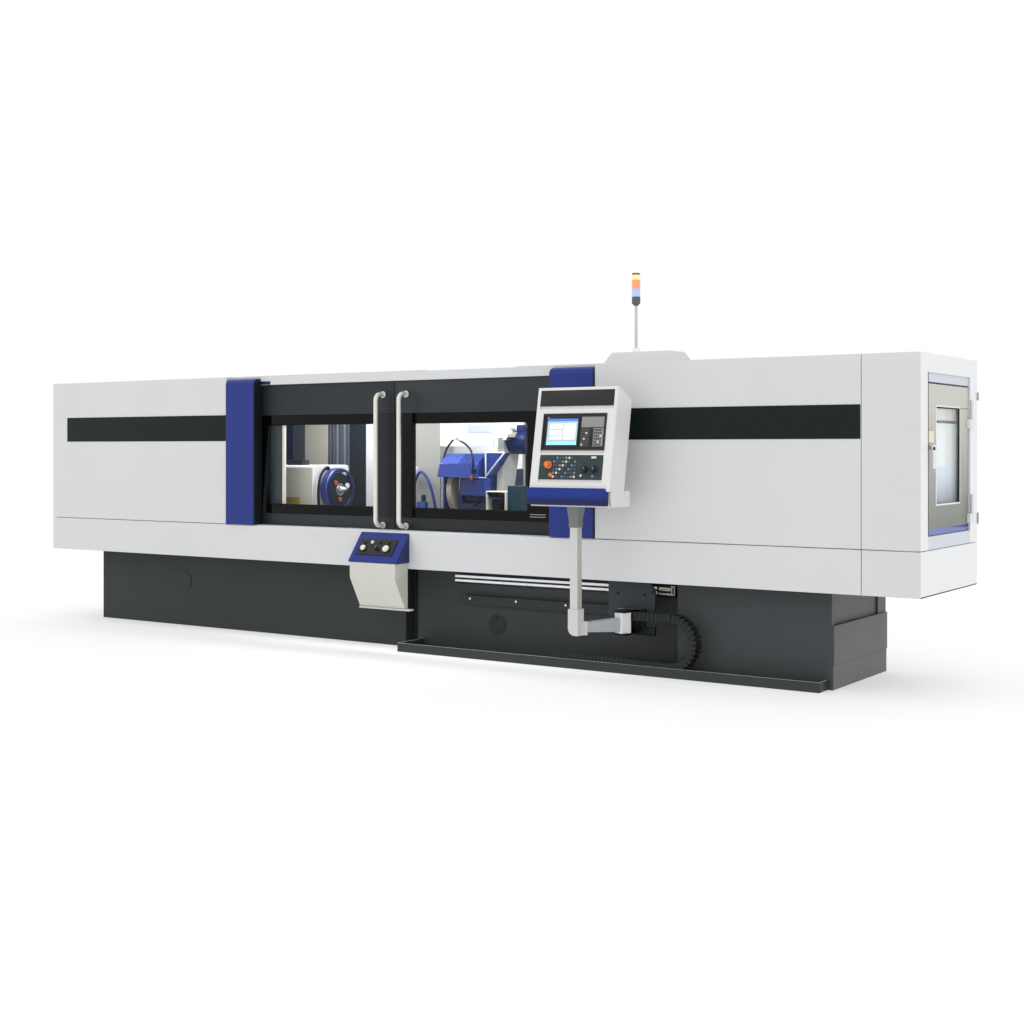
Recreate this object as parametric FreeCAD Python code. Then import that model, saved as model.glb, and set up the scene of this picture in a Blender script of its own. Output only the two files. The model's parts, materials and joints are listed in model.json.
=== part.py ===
import FreeCAD, Part
import math
import os

V = FreeCAD.Vector

# A thread grinding machine, free standing on a floor. Millimetres and degrees.
# X runs along the machine to the right, Y to the rear and Z up. The front plane of the
# enclosure is Y = 0 while the pieces are made, and the floor is Z = 0.

# Enclosure, with its widths stacked from the left end
left_cabinet_width = 1915.0
left_column_width = 280.0
doorway_width = 2485.0
right_column_width = 320.0
right_cabinet_width = 1675.0
end_module_width = 325.0
enclosure_depth = 1010.0
enclosure_top = 1860.0
seam_height = 800.0
apron_bottom = 554.0
shell = 25.0
panel_seam = 4.0
shell_edge_round = 6.0
running_gap = 0.3

# Blue columns beside the doorway
column_proud = 12.0
column_jamb_depth = 88.0
column_top_drop = 14.0
column_top_round = 45.0
column_edge_round = 10.0
column_wall = 20.0

# Black trim strips
strip_bottom = 1400.0
strip_height = 187.0
strip_thick = 3.0
left_strip_inset = 174.0
right_strip_inset = 6.0

# Doorway, track cover and sill
door_face_y = 80.0
door_thick = 42.0
header_front_y = 60.0
header_height = 60.0
header_depth = 95.0
sill_height = 28.0
track_start = -2420.0
track_end = 2365.0
door_overlap = 30.0
left_door_share = 0.485
door_top_band = 217.0
door_bottom_band = 83.0
window_border_side = 125.0
left_window_border = 55.0
window_border_outer = 60.0
window_border_top = 65.0
window_border_bottom = 62.0
window_setback = 4.0
window_thick = 8.0
border_thick = 6.0

# Door handles
handle_diameter = 30.0
handle_reach = 80.0
handle_height = 910.0
handle_bottom = 815.0
handle_bend = 42.0
handle_gap_from_split = 98.0
handle_foot_diameter = 44.0
handle_foot_thick = 6.0

# Roof covers and signal tower
hood_front_y = 400.0
hood_depth = 540.0
hood_height = 28.0
left_hood_start = 480.0
left_hood_length = 2930.0
right_hood_length = 1750.0
hood_gap = 746.0
tower_box_inset = 15.0
tower_box_width = 490.0
tower_box_y = 120.0
tower_box_depth = 272.0
tower_box_height = 74.0
tower_box_slope = 42.0
tower_from_box = 170.0
tower_y = 240.0
tower_knuckle_diameter = 46.0
tower_knuckle_height = 22.0
tower_post_diameter = 19.0
tower_post_height = 269.0
tower_base_height = 49.0
tower_lens_diameter = 52.0
tower_lens_height = 52.0
tower_lens_top_height = 31.0
tower_cap_height = 12.0

# End door on the right end face
end_door_y = 124.0
end_door_width = 748.0
end_door_bottom = 875.0
end_door_height = 823.0
end_header_height = 59.0
end_door_thick = 22.0
end_door_setback = 10.0
end_window_y = 285.0
end_window_width = 415.0
end_window_bottom = 1045.0
end_window_height = 530.0
end_band_height = 34.0
hinge_knuckle_diameter = 22.0
hinge_knuckle_height = 110.0
hinge_pin_diameter = 10.0
hinge_pin_clearance = 0.05
hinge_low_share = 0.12
hinge_high_share = 0.78
lever_y = 154.0
lever_z = 1352.0
lever_length = 130.0
lever_width = 16.0
lever_stand_off = 26.0
lever_thick = 12.0
lever_boss_diameter = 28.0
lever_plate_height = 62.0
lever_plate_width = 50.0

# Beds
bed_top = 700.0
bed_wall = 45.0
bed_rib_pitch = 610.0
left_bed_inset = 300.0
left_bed_front_y = 250.0
left_bed_end = -136.0
bed_joint_y = 345.0
right_bed_start = -71.0
right_bed_end = 2950.0
right_bed_front_y = 300.0
right_step_x = 1985.0
right_step_front_y = 150.0
end_plate_height = 360.0
end_plate_thick = 12.0
end_skirt_height = 138.0
end_skirt_thick = 7.0
end_pocket_depth = 16.0
end_pocket_round = 34.0
end_pocket_margin = 14.0
end_pocket_rear_margin = 130.0
rear_bed_start = -480.0
rear_bed_width = 1100.0
rear_bed_end_y = 1660.0
cover_plate_diameter = 134.0
cover_plate_thick = 5.0
left_cover_x = -2270.0
left_cover_z = 339.0
right_cover_x = 584.0
right_cover_z = 194.0

# Drip tray on the floor in front of the right bed
tray_start = -30.0
tray_front_y = 20.0
tray_lip_height = 58.0
tray_lip_thick = 8.0
tray_floor = 6.0
tray_end = 2925.0

# Guard bar below the pendant's rails
guard_bar_x = 335.0
guard_bar_length = 1180.0
guard_bar_z = 313.0
guard_bar_height = 62.0
guard_bar_depth = 40.0
guard_screw_diameter = 16.0
guard_screw_head = 6.0
guard_screw_shares = (0.05, 0.36, 0.68)
guard_screw_height_share = 0.68

# Pendant's rail
rail_x = 262.0
rail_end = 1800.0
rail_back_z = 448.0
rail_back_height = 66.0
rail_back_depth = 12.0
rail_bar_depth = 18.0
rail_bar_height = 14.0
rail_top_z = 490.0
rail_low_z = 462.0
rail_segment_length = 190.0
rail_segment_gap = 6.0
rail_block_length = 125.0
rail_block_depth = 60.0

# Pendant carriage
carriage_x = 1530.0
carriage_width = 320.0
carriage_bottom = 330.0
carriage_top = 545.0
carriage_front_y = 120.0
carriage_plate = 18.0
carriage_corner = 70.0
carriage_block_margin = 26.0
carriage_lip = 9.0
carriage_screw_diameter = 14.0
carriage_screw_head = 5.0
carriage_screw_z = 470.0
carriage_screw_inset = 66.0
carriage_screw_pitch = 185.0

# Pendant arm
arm_pivot_x = 1693.0
arm_pivot_y = 10.0
arm_box_width = 74.0
arm_box_bottom = 247.0
arm_box_height = 122.0
arm_box_round = 8.0
arm_reach = 334.0
arm_angle = -115.8
arm_tube_width = 50.0
arm_tube_height = 84.0
arm_tube_end_height = 57.0
arm_axis_z = 298.0
arm_pin_diameter = 26.0
arm_pin_clearance = 0.05
lug_thick = 12.0
lug_width = 76.0
lug_web_thick = 18.0
chain_bracket_length = 129.0
chain_bracket_bottom = 227.0
chain_bracket_height = 54.0
chain_bracket_wall = 8.0
chain_clamp_length = 40.0
elbow_width = 68.0
elbow_bottom = 254.0
elbow_height = 154.0
elbow_round = 44.0
elbow_collar_height = 80.0
elbow_collar_width = 60.0
elbow_collar_reach = 62.0
post_width = 54.0
post_round = 7.0
post_top = 885.0
spigot_diameter = 34.0
spigot_height = 60.0
spigot_clearance = 0.05

# Pendant
socket_low_width = 65.0
socket_high_width = 86.0
socket_straight_height = 43.0
socket_round = 10.0
pendant_start_x = 1295.0
pendant_width = 547.0
pendant_bottom = 1010.0
shelf_height = 92.0
shelf_front_y = -385.0
shelf_depth = 225.0
pendant_lean = 10.0
pendant_face_y = -415.0
pendant_face_height = 622.0
pendant_depth = 185.0
pendant_top_slope = 58.0
pendant_edge_round = 16.0
face_recess = 8.0
header_panel_bottom = 484.0
header_panel_height = 95.0
header_left_margin = 28.0
header_right_margin = 17.0
panel_right_margin = 54.0
panel_left_margin = 61.0
screen_panel_bottom = 221.0
screen_panel_height = 218.0
operator_panel_bottom = 49.0
operator_panel_height = 146.0
panel_thick = 10.0
screen_width = 232.0
screen_height = 180.0
screen_proud = 3.0
screen_margin = 22.0
keypad_width = 156.0
wrist_depth = 45.0
wrist_lift = 18.0
wrist_drop = 8.0
wrist_round = 26.0
wrist_end_margin = 18.0
estop_share = 0.15
estop_height_share = 0.71
estop_diameter = 36.0
estop_length = 26.0
estop_collar_diameter = 46.0
estop_collar_thick = 5.0
button_travel = 5.0
panel_knob_diameter = 42.0
panel_knob_length = 22.0
feed_knob_share = 0.73
spindle_knob_share = 0.875
knob_height_share = 0.53
stem_diameter = 10.0

# Energy chain
chain_height = 50.0
chain_radius = 142.0
chain_low_z = 62.0
chain_fixed_x = 1180.0
chain_bend_x = 2002.0
chain_moving_x = 1752.0
chain_pitch = 56.0
chain_link_gap = 0.8
chain_bend_links = 8

# Operator station under the doors
station_x = -319.0
station_width = 407.0
station_top_z = 788.0
station_break_z = 604.0
station_reach = 140.0
station_base_z = 292.0
station_knee_z = 492.0
station_knee_round = 60.0
station_foot_reach = 33.0
station_lip = 10.0
station_lip_height = 12.0
station_cap_thick = 10.0
station_body_inset = 12.0
station_lip_reach = 37.0
station_panel_left_margin = 38.0
station_panel_right_margin = 62.0
station_panel_low = 48.0
station_panel_height = 128.0
station_panel_thick = 6.0
station_start_diameter = 46.0
station_stop_diameter = 38.0
station_button_length = 14.0
station_bezel_wall = 5.0
station_bezel_thick = 9.0
station_start_share = 0.80
station_stop_share = 0.17
station_knob_share = 0.54
station_row_share = 0.36
station_knob_diameter = 30.0
station_knob_length = 22.0

# Inner frame
frame_post = 50.0
frame_post_width = 60.0
bracket_height = 60.0
bracket_z = 600.0
bracket_pitch = 1150.0

# Table, workhead and tailstock
work_axis_y = 500.0
work_axis_z = 1050.0
way_height = 40.0
way_width = 60.0
front_way_y = 330.0
rear_way_y = 640.0
way_margin = 60.0
table_start = -1650.0
workhead_margin = 150.0
tailstock_margin = 50.0
table_length = 3650.0
table_y = 300.0
table_width = 430.0
table_thick = 60.0
table_slot_width = 22.0
table_slot_depth = 24.0
table_slots = 2
headstock_length = 475.0
headstock_width = 400.0
headstock_shoulder = 16.0
headstock_top = 1226.0
headstock_base_height = 50.0
headstock_motor_diameter = 190.0
headstock_motor_length = 140.0
nose_diameter = 220.0
nose_length = 28.0
face_plate_diameter = 310.0
face_plate_thick = 60.0
face_plate_shaft_diameter = 110.0
face_plate_shaft_length = 200.0
shaft_clearance = 0.05
center_diameter = 60.0
center_length = 85.0
drive_pin_diameter = 26.0
drive_pin_length = 50.0
drive_pin_radius = 110.0
tailstock_length = 350.0
tailstock_width = 300.0
tailstock_top = 1170.0
quill_diameter = 80.0
quill_reach = 55.0
quill_inside = 220.0
quill_center_length = 70.0
quill_travel = 40.0

# Wheelhead
wheel_x = -110.0
wheel_axis_y = 900.0
wheel_diameter = 400.0
wheel_width = 40.0
wheel_flange_diameter = 190.0
wheel_flange_thick = 18.0
slide_start_y = 905.0
slide_depth = 600.0
slide_margin = 230.0
slide_width = 640.0
slide_thick = 60.0
slide_way_start_y = 748.0
slide_way_inset = 60.0
slide_way_span = 440.0
upright_y = 1210.0
upright_thick = 110.0
upright_width = 360.0
upright_top = 1250.0
trunnion_diameter = 150.0
trunnion_flange_diameter = 300.0
trunnion_flange_thick = 30.0
head_gap = 82.0
head_width = 237.0
head_start_y = 775.0
head_bottom = 958.0
head_top = 1200.0
head_round = 30.0
wheel_shaft_diameter = 60.0
guard_width = 162.0
guard_clearance = 26.0
guard_wall = 14.0
guard_outline_shares = ((-0.950, 0.400), (-0.833, 0.790), (-0.458, 1.090), (0.458, 1.090),
                        (0.983, 0.417), (1.0, -0.604), (-0.646, -0.604), (-0.646, 0.400))
hood_length = 172.0
nose_cover_depth = 60.0
nose_cover_inset = 4.0
nose_cover_bottom = 1016.0
nose_cover_round = 22.0
gusset_thick = 30.0
gusset_overlap = 31.0
gusset_toe_overlap = 9.0
gusset_reach = 129.0
gusset_bottom = 1150.0
gusset_top = 1318.0
motor_diameter = 170.0
motor_length = 150.0
motor_y = 950.0
motor_z = 1392.0
terminal_box_width = 90.0
terminal_box_length = 76.0
terminal_box_offset = 61.0
terminal_box_top = 1512.0
belt_cover_thick = 60.0
belt_cover_low_radius = 70.0
belt_cover_high_radius = 105.0
side_box_width = 170.0
side_box_front_y = 700.0
side_box_depth = 125.0
side_box_bottom = 894.0
side_box_top = 1053.0
side_box_wall = 16.0
side_box_recess = 60.0
side_drive_width = 101.0
side_drive_setback = 20.0
side_drive_bottom = 910.0
side_drive_top = 1090.0
swivel_x = 313.0
swivel_z = 1444.0
swivel_diameter = 80.0
swivel_start_y = 765.0
swivel_length = 60.0
swivel_stay_width = 56.0
swivel_stay_height = 38.0
coolant_bar_length = 409.0
coolant_bar_size = 20.0
coolant_bar_y = 752.0
coolant_bar_drop = 14.0
coolant_knob_diameter = 46.0
coolant_knob_length = 36.0
coolant_pipe_diameter = 14.0
pipe_bend_share = 0.45
left_pipe_shares = ((-0.35, -0.52), (-3.0, -3.22), (-4.74, -7.04), (-4.74, -11.3))
pipe_clip_height = 30.0
pipe_clip_depth = 24.0
right_pipe_shares = ((0.35, 0.0, -0.61), (4.17, -0.74, -2.0), (7.87, -2.48, -4.09),
                     (9.74, -4.09, -7.04), (9.83, -4.26, -10.0))
pipe_end_size = 24.0
pipe_end_length = 35.0

# Rear housing behind the doorway
housing_start = -1400.0
housing_width = 2800.0
housing_rear_y = 1750.0

# Places worked out from the sizes
enclosure_length = (left_cabinet_width + left_column_width + doorway_width
                    + right_column_width + right_cabinet_width + end_module_width)
left_end = -enclosure_length / 2
left_column_x = left_end + left_cabinet_width
doorway_x = left_column_x + left_column_width
doorway_end = doorway_x + doorway_width
right_column_end = doorway_end + right_column_width
tower_box_x = right_column_end - tower_box_inset
tower_x = tower_box_x + tower_from_box
end_split = right_column_end + right_cabinet_width
right_end = -left_end
bed_rear_y = enclosure_depth
door_split = doorway_x + doorway_width * left_door_share
door_top = enclosure_top - header_height - running_gap
table_top = bed_top + way_height + running_gap + table_thick
slide_start_x = wheel_x - slide_margin
slide_way_x = slide_start_x + slide_way_inset
head_start_x = wheel_x + head_gap
guard_radius = wheel_diameter / 2 + guard_clearance + guard_wall
headstock_start = table_start + workhead_margin
tailstock_x = table_start + table_length - tailstock_margin - tailstock_length
slide_top = bed_top + way_height + running_gap + slide_thick
chain_y = tray_front_y + tray_lip_thick + running_gap
chain_width = carriage_front_y - lug_web_thick - running_gap - chain_y
elbow_x = arm_pivot_x + arm_reach * math.cos(math.radians(arm_angle))
elbow_y = arm_pivot_y + arm_reach * math.sin(math.radians(arm_angle))
pendant_face_z = pendant_bottom + shelf_height
station_lean = math.degrees(math.atan2(station_reach - running_gap, station_top_z - station_break_z))
cut_over = 5.0

nodes = {}


def keep(name, *solids):
    """Adds solids to the named piece."""
    nodes.setdefault(name, []).extend(solids)


def block(x0, x1, y0, y1, z0, z1):
    """A box between two corners."""
    return Part.makeBox(x1 - x0, y1 - y0, z1 - z0, V(x0, y0, z0))


def rod(start, direction, length, diameter):
    """A round bar from a point along a direction."""
    return Part.makeCylinder(diameter / 2, length, V(*start), V(*direction))


def side_prism(points, x0, x1):
    """A prism along X over an outline of (y, z) points."""
    ring = [V(x0, y, z) for y, z in points]
    return Part.Face(Part.makePolygon(ring + ring[:1])).extrude(V(x1 - x0, 0, 0))


def plan_prism(points, z0, z1):
    """A prism along Z over an outline of (x, y) points."""
    ring = [V(x, y, z0) for x, y in points]
    return Part.Face(Part.makePolygon(ring + ring[:1])).extrude(V(0, 0, z1 - z0))


def round_some(solid, radius, wanted):
    """Rounds the edges whose middle and direction pass the test."""
    edges = [e for e in solid.Edges if wanted(e.CenterOfMass, e.tangentAt(e.FirstParameter))]
    return solid.makeFillet(radius, edges) if edges else solid


def along_x(direction):
    return abs(direction.x) > 0.99


def along_z(direction):
    return abs(direction.z) > 0.99


def on_leaning_face(solid, base_y, base_z, lean):
    """Moves a solid made on an upright face at y = 0, z = 0 on to a face that leans back."""
    placed = solid.copy()
    placed.rotate(V(0, 0, 0), V(1, 0, 0), -lean)
    placed.translate(V(0, base_y, base_z))
    return placed


def casting(x0, x1, y0, y1, top):
    """A bed casting: a deck and walls, ribbed inside and open below."""
    body = block(x0, x1, y0, y1, 0, top)
    bays = max(1, round((x1 - x0) / bed_rib_pitch))
    pitch = (x1 - x0 - bed_wall) / bays
    for bay in range(bays):
        start = x0 + bed_wall + bay * pitch
        body = body.cut(block(start, start + pitch - bed_wall, y0 + bed_wall, y1 - bed_wall,
                              -cut_over, top - bed_wall))
    return body


def make_beds():
    left_start = left_end + left_bed_inset
    left = casting(left_start, left_bed_end, left_bed_front_y, bed_rear_y, bed_top)
    left = left.fuse(block(left_bed_end - bed_wall, right_bed_start, bed_joint_y, bed_rear_y, 0, bed_top))
    keep("bed_left", left.removeSplitter())

    right = casting(right_bed_start, right_bed_end, right_bed_front_y, bed_rear_y, bed_top)
    step = block(right_step_x, right_bed_end, right_step_front_y, right_bed_front_y + bed_wall, 0, bed_top)
    step = step.cut(block(right_step_x + bed_wall, right_bed_end - bed_wall,
                          right_step_front_y + bed_wall, right_bed_front_y + bed_wall + cut_over,
                          -cut_over, bed_top - bed_wall))
    right = right.fuse(step).removeSplitter()
    pocket = block(right_bed_end - end_pocket_depth, right_bed_end + cut_over,
                   right_step_front_y + end_pocket_margin, bed_rear_y - end_pocket_rear_margin,
                   end_plate_height, bed_top + cut_over)
    pocket = round_some(pocket, end_pocket_round, lambda c, d: along_x(d)
                        and c.y < right_bed_front_y and c.z < bed_top)
    keep("bed_right", right.cut(pocket))
    keep("bed_right", block(right_bed_end, right_bed_end + end_plate_thick,
                            right_step_front_y, bed_rear_y, end_skirt_height, end_plate_height))
    keep("bed_right", block(right_bed_end, right_bed_end + end_skirt_thick,
                            right_step_front_y, bed_rear_y, 0, end_skirt_height))

    keep("bed_rear", casting(rear_bed_start, rear_bed_start + rear_bed_width,
                             bed_rear_y, rear_bed_end_y, bed_top))


def make_base_fittings():
    keep("base_cover_plates",
         rod((left_cover_x, left_bed_front_y, left_cover_z), (0, -1, 0),
             cover_plate_thick, cover_plate_diameter),
         rod((right_cover_x, right_bed_front_y, right_cover_z), (0, -1, 0),
             cover_plate_thick, cover_plate_diameter))

    bar_y = right_bed_front_y - guard_bar_depth
    keep("guard_bar", block(guard_bar_x, guard_bar_x + guard_bar_length, bar_y, right_bed_front_y,
                            guard_bar_z, guard_bar_z + guard_bar_height))
    for share in guard_screw_shares:
        keep("guard_bar", rod((guard_bar_x + guard_bar_length * share, bar_y,
                               guard_bar_z + guard_bar_height * guard_screw_height_share), (0, -1, 0),
                              guard_screw_head, guard_screw_diameter))

    tray_rear = right_step_front_y
    keep("drip_tray", block(chain_fixed_x, chain_bend_x, chain_y, chain_y + chain_width, tray_floor,
                            chain_low_z - chain_height / 2 - running_gap))
    lip_y = tray_front_y + tray_lip_thick
    keep("drip_tray", block(tray_start, right_step_x, lip_y, right_bed_front_y, 0, tray_floor))
    keep("drip_tray", block(right_step_x, tray_end, lip_y, tray_rear, 0, tray_floor))
    keep("drip_tray", block(tray_start, tray_end, tray_front_y, lip_y, 0, tray_lip_height))
    keep("drip_tray", block(tray_start, tray_start + tray_lip_thick, lip_y, right_bed_front_y,
                            tray_floor, tray_lip_height))
    keep("drip_tray", block(tray_end - tray_lip_thick, tray_end, lip_y, tray_rear,
                            tray_floor, tray_lip_height))


def make_pendant_rail():
    back_y = right_bed_front_y - rail_back_depth
    front_y = back_y - rail_bar_depth
    keep("pendant_rail", block(rail_x, rail_end, back_y, right_bed_front_y,
                               rail_back_z, rail_back_z + rail_back_height))
    keep("pendant_rail", block(rail_x, rail_end, front_y, back_y, rail_top_z, rail_top_z + rail_bar_height))
    count = int((rail_end - rail_x) / rail_segment_length)
    step = (rail_end - rail_x) / count
    for n in range(count):
        start = rail_x + n * step
        keep("pendant_rail", block(start, start + step - rail_segment_gap, front_y, back_y,
                                   rail_low_z, rail_low_z + rail_bar_height))
    keep("pendant_rail", block(rail_end, rail_end + rail_block_length, right_bed_front_y - rail_block_depth,
                               right_bed_front_y, rail_back_z, rail_back_z + rail_back_height))


def front_panel(x0, x1, z0, z1, round_left=False, round_right=False):
    """A flat front plate whose outer edges are softly rounded."""
    plate = block(x0, x1, 0, shell, z0, z1)
    return round_some(plate, shell_edge_round, lambda c, d: c.y < running_gap and (
        (along_x(d) and c.z > z1 - running_gap)
        or (along_z(d) and round_left and c.x < x0 + running_gap)
        or (along_z(d) and round_right and c.x > x1 - running_gap)))


def make_cabinets():
    low = seam_height + panel_seam
    under = enclosure_top - shell
    keep("left_cabinet",
         front_panel(left_end, left_column_x - panel_seam, low, enclosure_top, round_left=True),
         block(left_end, left_column_x - panel_seam, shell, enclosure_depth, under, enclosure_top),
         block(left_end, left_end + shell, shell, enclosure_depth, low, under))
    keep("right_cabinet",
         front_panel(right_column_end + panel_seam, end_split - panel_seam, low, enclosure_top),
         block(right_column_end + panel_seam, end_split - panel_seam, shell, enclosure_depth,
               under, enclosure_top))
    side = right_end - shell
    door_end_y = end_door_y + end_door_width
    head_z = end_door_bottom + end_door_height
    keep("end_module",
         front_panel(end_split, right_end, low, enclosure_top, round_right=True),
         block(end_split, right_end, shell, enclosure_depth, under, enclosure_top),
         block(side, right_end, shell, end_door_y, low, under),
         block(side, right_end, door_end_y, enclosure_depth, low, under),
         block(side, right_end, end_door_y, door_end_y, low, end_door_bottom),
         block(side, right_end - end_door_setback, end_door_y, door_end_y,
               head_z + panel_seam, head_z + end_header_height),
         block(side, right_end, end_door_y, door_end_y, head_z + end_header_height, under))
    for share in (hinge_low_share, hinge_high_share):
        z = end_door_bottom + end_door_height * share
        x, y = hinge_axis()
        knuckle = rod((x, y, z), (0, 0, 1), hinge_knuckle_height, hinge_knuckle_diameter)
        bore = rod((x, y, z - cut_over), (0, 0, 1), hinge_knuckle_height + 2 * cut_over,
                   hinge_pin_diameter + 2 * hinge_pin_clearance)
        leaf = block(right_end, x, y + hinge_pin_diameter, y + hinge_knuckle_diameter,
                     z, z + hinge_knuckle_height)
        leaf = leaf.fuse(knuckle).cut(bore)
        keep("end_module", leaf.removeSplitter())


def hinge_axis():
    """The end door's hinge line, just outside the end face beside the opening."""
    return (right_end + hinge_knuckle_diameter / 2,
            end_door_y + end_door_width + hinge_knuckle_diameter / 2)


def make_apron():
    high = seam_height
    sill_top = high + panel_seam - running_gap
    track_y = shell + frame_post
    track_rear = door_face_y + door_thick
    keep("apron",
         front_panel(left_end, end_split - panel_seam, apron_bottom, high, round_left=True),
         front_panel(end_split, right_end, apron_bottom, high, round_right=True),
         block(left_end, left_end + shell, shell, enclosure_depth, apron_bottom, high),
         block(right_end - shell, right_end, shell, enclosure_depth, apron_bottom, high),
         block(doorway_x, doorway_end, shell, track_rear, sill_top - sill_height, sill_top),
         block(track_start, doorway_x, track_y, track_rear, sill_top - sill_height, sill_top),
         block(doorway_end, track_end, track_y, track_rear, sill_top - sill_height, sill_top))


def make_column(name, x0, x1):
    top = enclosure_top - column_top_drop
    body = block(x0, x1, -column_proud, column_jamb_depth - column_proud, seam_height + panel_seam, top)
    body = round_some(body, column_top_round, lambda c, d: along_x(d) and c.y < 0 and c.z > top - running_gap)
    body = round_some(body, column_edge_round, lambda c, d: along_z(d) and c.y < 0)
    hollow = block(x0 + column_wall, x1 - column_wall, column_wall - column_proud, enclosure_depth,
                   0, top - column_wall - column_top_round)
    keep(name, body.cut(hollow))


def make_strips():
    keep("trim_strips",
         block(left_end + left_strip_inset, left_column_x - panel_seam, -strip_thick, 0,
               strip_bottom, strip_bottom + strip_height),
         block(right_column_end + panel_seam, end_split - right_strip_inset, -strip_thick, 0,
               strip_bottom, strip_bottom + strip_height))


def make_roof():
    under = enclosure_top - shell
    front = header_front_y + header_depth
    keep("roof_panel",
         block(doorway_x, doorway_end, header_front_y, front, enclosure_top - header_height, enclosure_top),
         block(left_column_x, right_column_end, front, enclosure_depth, under, enclosure_top),
         block(left_column_x, doorway_x, column_jamb_depth - column_proud, front, under, enclosure_top),
         block(doorway_end, right_column_end, column_jamb_depth - column_proud, front, under, enclosure_top))
    left_hood = left_end + left_hood_start
    right_hood = left_hood + left_hood_length + hood_gap
    for start, length in ((left_hood, left_hood_length), (right_hood, right_hood_length)):
        hood = block(start, start + length, hood_front_y, hood_front_y + hood_depth,
                     enclosure_top, enclosure_top + hood_height)
        keep("roof_covers", round_some(hood, shell_edge_round, lambda c, d:
                                       c.z > enclosure_top + hood_height - running_gap))
    top = enclosure_top + tower_box_height
    low = Part.makePolygon([V(x, y, enclosure_top) for x, y in box_corners(0)])
    high = Part.makePolygon([V(x, y, top) for x, y in box_corners(tower_box_slope)])
    keep("roof_covers", Part.makeLoft([low, high], True, True))


def box_corners(inset):
    """The tower box's outline, closed, drawn in by the inset."""
    x0 = tower_box_x + inset
    x1 = tower_box_x + tower_box_width - inset
    y0 = tower_box_y + inset
    y1 = tower_box_y + tower_box_depth - inset
    return [(x0, y0), (x1, y0), (x1, y1), (x0, y1), (x0, y0)]


def make_signal_tower():
    z = enclosure_top + tower_box_height
    keep("signal_tower_post", rod((tower_x, tower_y, z), (0, 0, 1),
                                  tower_knuckle_height, tower_knuckle_diameter))
    z += tower_knuckle_height
    keep("signal_tower_post", rod((tower_x, tower_y, z), (0, 0, 1), tower_post_height, tower_post_diameter))
    z += tower_post_height
    keep("signal_tower_post", rod((tower_x, tower_y, z), (0, 0, 1), tower_base_height, tower_lens_diameter))
    z += tower_base_height
    for height in (tower_lens_height, tower_lens_height, tower_lens_top_height, tower_cap_height):
        keep("signal_tower_lenses", rod((tower_x, tower_y, z), (0, 0, 1), height, tower_lens_diameter))
        z += height


def make_rear():
    under = enclosure_top - shell
    y0 = enclosure_depth - shell
    housing_end = housing_start + housing_width
    left_bed_start = left_end + left_bed_inset
    keep("rear_housing",
         block(left_end + shell, left_bed_start, y0, enclosure_depth, apron_bottom, under),
         block(left_bed_start, housing_start, y0, enclosure_depth, bed_top, under),
         block(housing_end, right_bed_end, y0, enclosure_depth, bed_top, under),
         block(right_bed_end, right_end - shell, y0, enclosure_depth, apron_bottom, under),
         block(housing_start, housing_start + shell, enclosure_depth, housing_rear_y, apron_bottom, under),
         block(housing_end - shell, housing_end, enclosure_depth, housing_rear_y, apron_bottom, under),
         block(housing_start + shell, housing_end - shell, housing_rear_y - shell, housing_rear_y,
               apron_bottom, under),
         block(housing_start, housing_end, enclosure_depth, housing_rear_y, under, enclosure_top))


def make_inner_frame():
    """Posts behind the panel seams and brackets that carry the shell from the beds."""
    for x in (left_column_x - frame_post_width, right_column_end, end_split - frame_post_width / 2):
        keep("inner_frame", block(x, x + frame_post_width, shell, shell + frame_post,
                                  bracket_z + bracket_height, enclosure_top - shell))
    left_bed_start = left_end + left_bed_inset
    spans = ((left_bed_start, left_bed_end, left_bed_front_y),
             (right_bed_start, right_step_x, right_bed_front_y),
             (right_step_x, right_bed_end, right_step_front_y))
    for x0, x1, bed_y in spans:
        count = max(2, round((x1 - x0) / bracket_pitch))
        step = (x1 - x0) / count
        for n in range(count):
            x = x0 + step * (n + 0.5)
            keep("inner_frame", block(x - frame_post_width / 2, x + frame_post_width / 2,
                                      shell, bed_y, bracket_z, bracket_z + bracket_height))
    for x in (rear_bed_start, rear_bed_start + rear_bed_width - frame_post_width):
        keep("inner_frame", block(x, x + frame_post_width, rear_bed_end_y, housing_rear_y - shell,
                                  bracket_z, bracket_z + bracket_height))


def door_frame(name, x0, x1, border_left, border_right):
    """A sliding door: slate bands, a black window border and the clear window in it."""
    y0 = door_face_y
    y1 = door_face_y + door_thick
    z0 = seam_height + panel_seam
    low = z0 + door_bottom_band
    high = door_top - door_top_band
    keep(name, block(x0, x1, y0, y1, z0, low), block(x0, x1, y0, y1, high, door_top))
    gx0 = x0 + border_left
    gx1 = x1 - border_right
    gz0 = low + window_border_bottom
    gz1 = high - window_border_top
    by = y0 + window_setback
    keep(name, block(x0, gx0, by, y1, low, high), block(gx1, x1, by, y1, low, high),
         block(gx0, gx1, by, y1, low, gz0), block(gx0, gx1, by, y1, gz1, high))
    glass_y = by + border_thick
    keep(name + "_window", block(gx0, gx1, glass_y, glass_y + window_thick, gz0, gz1))


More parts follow.
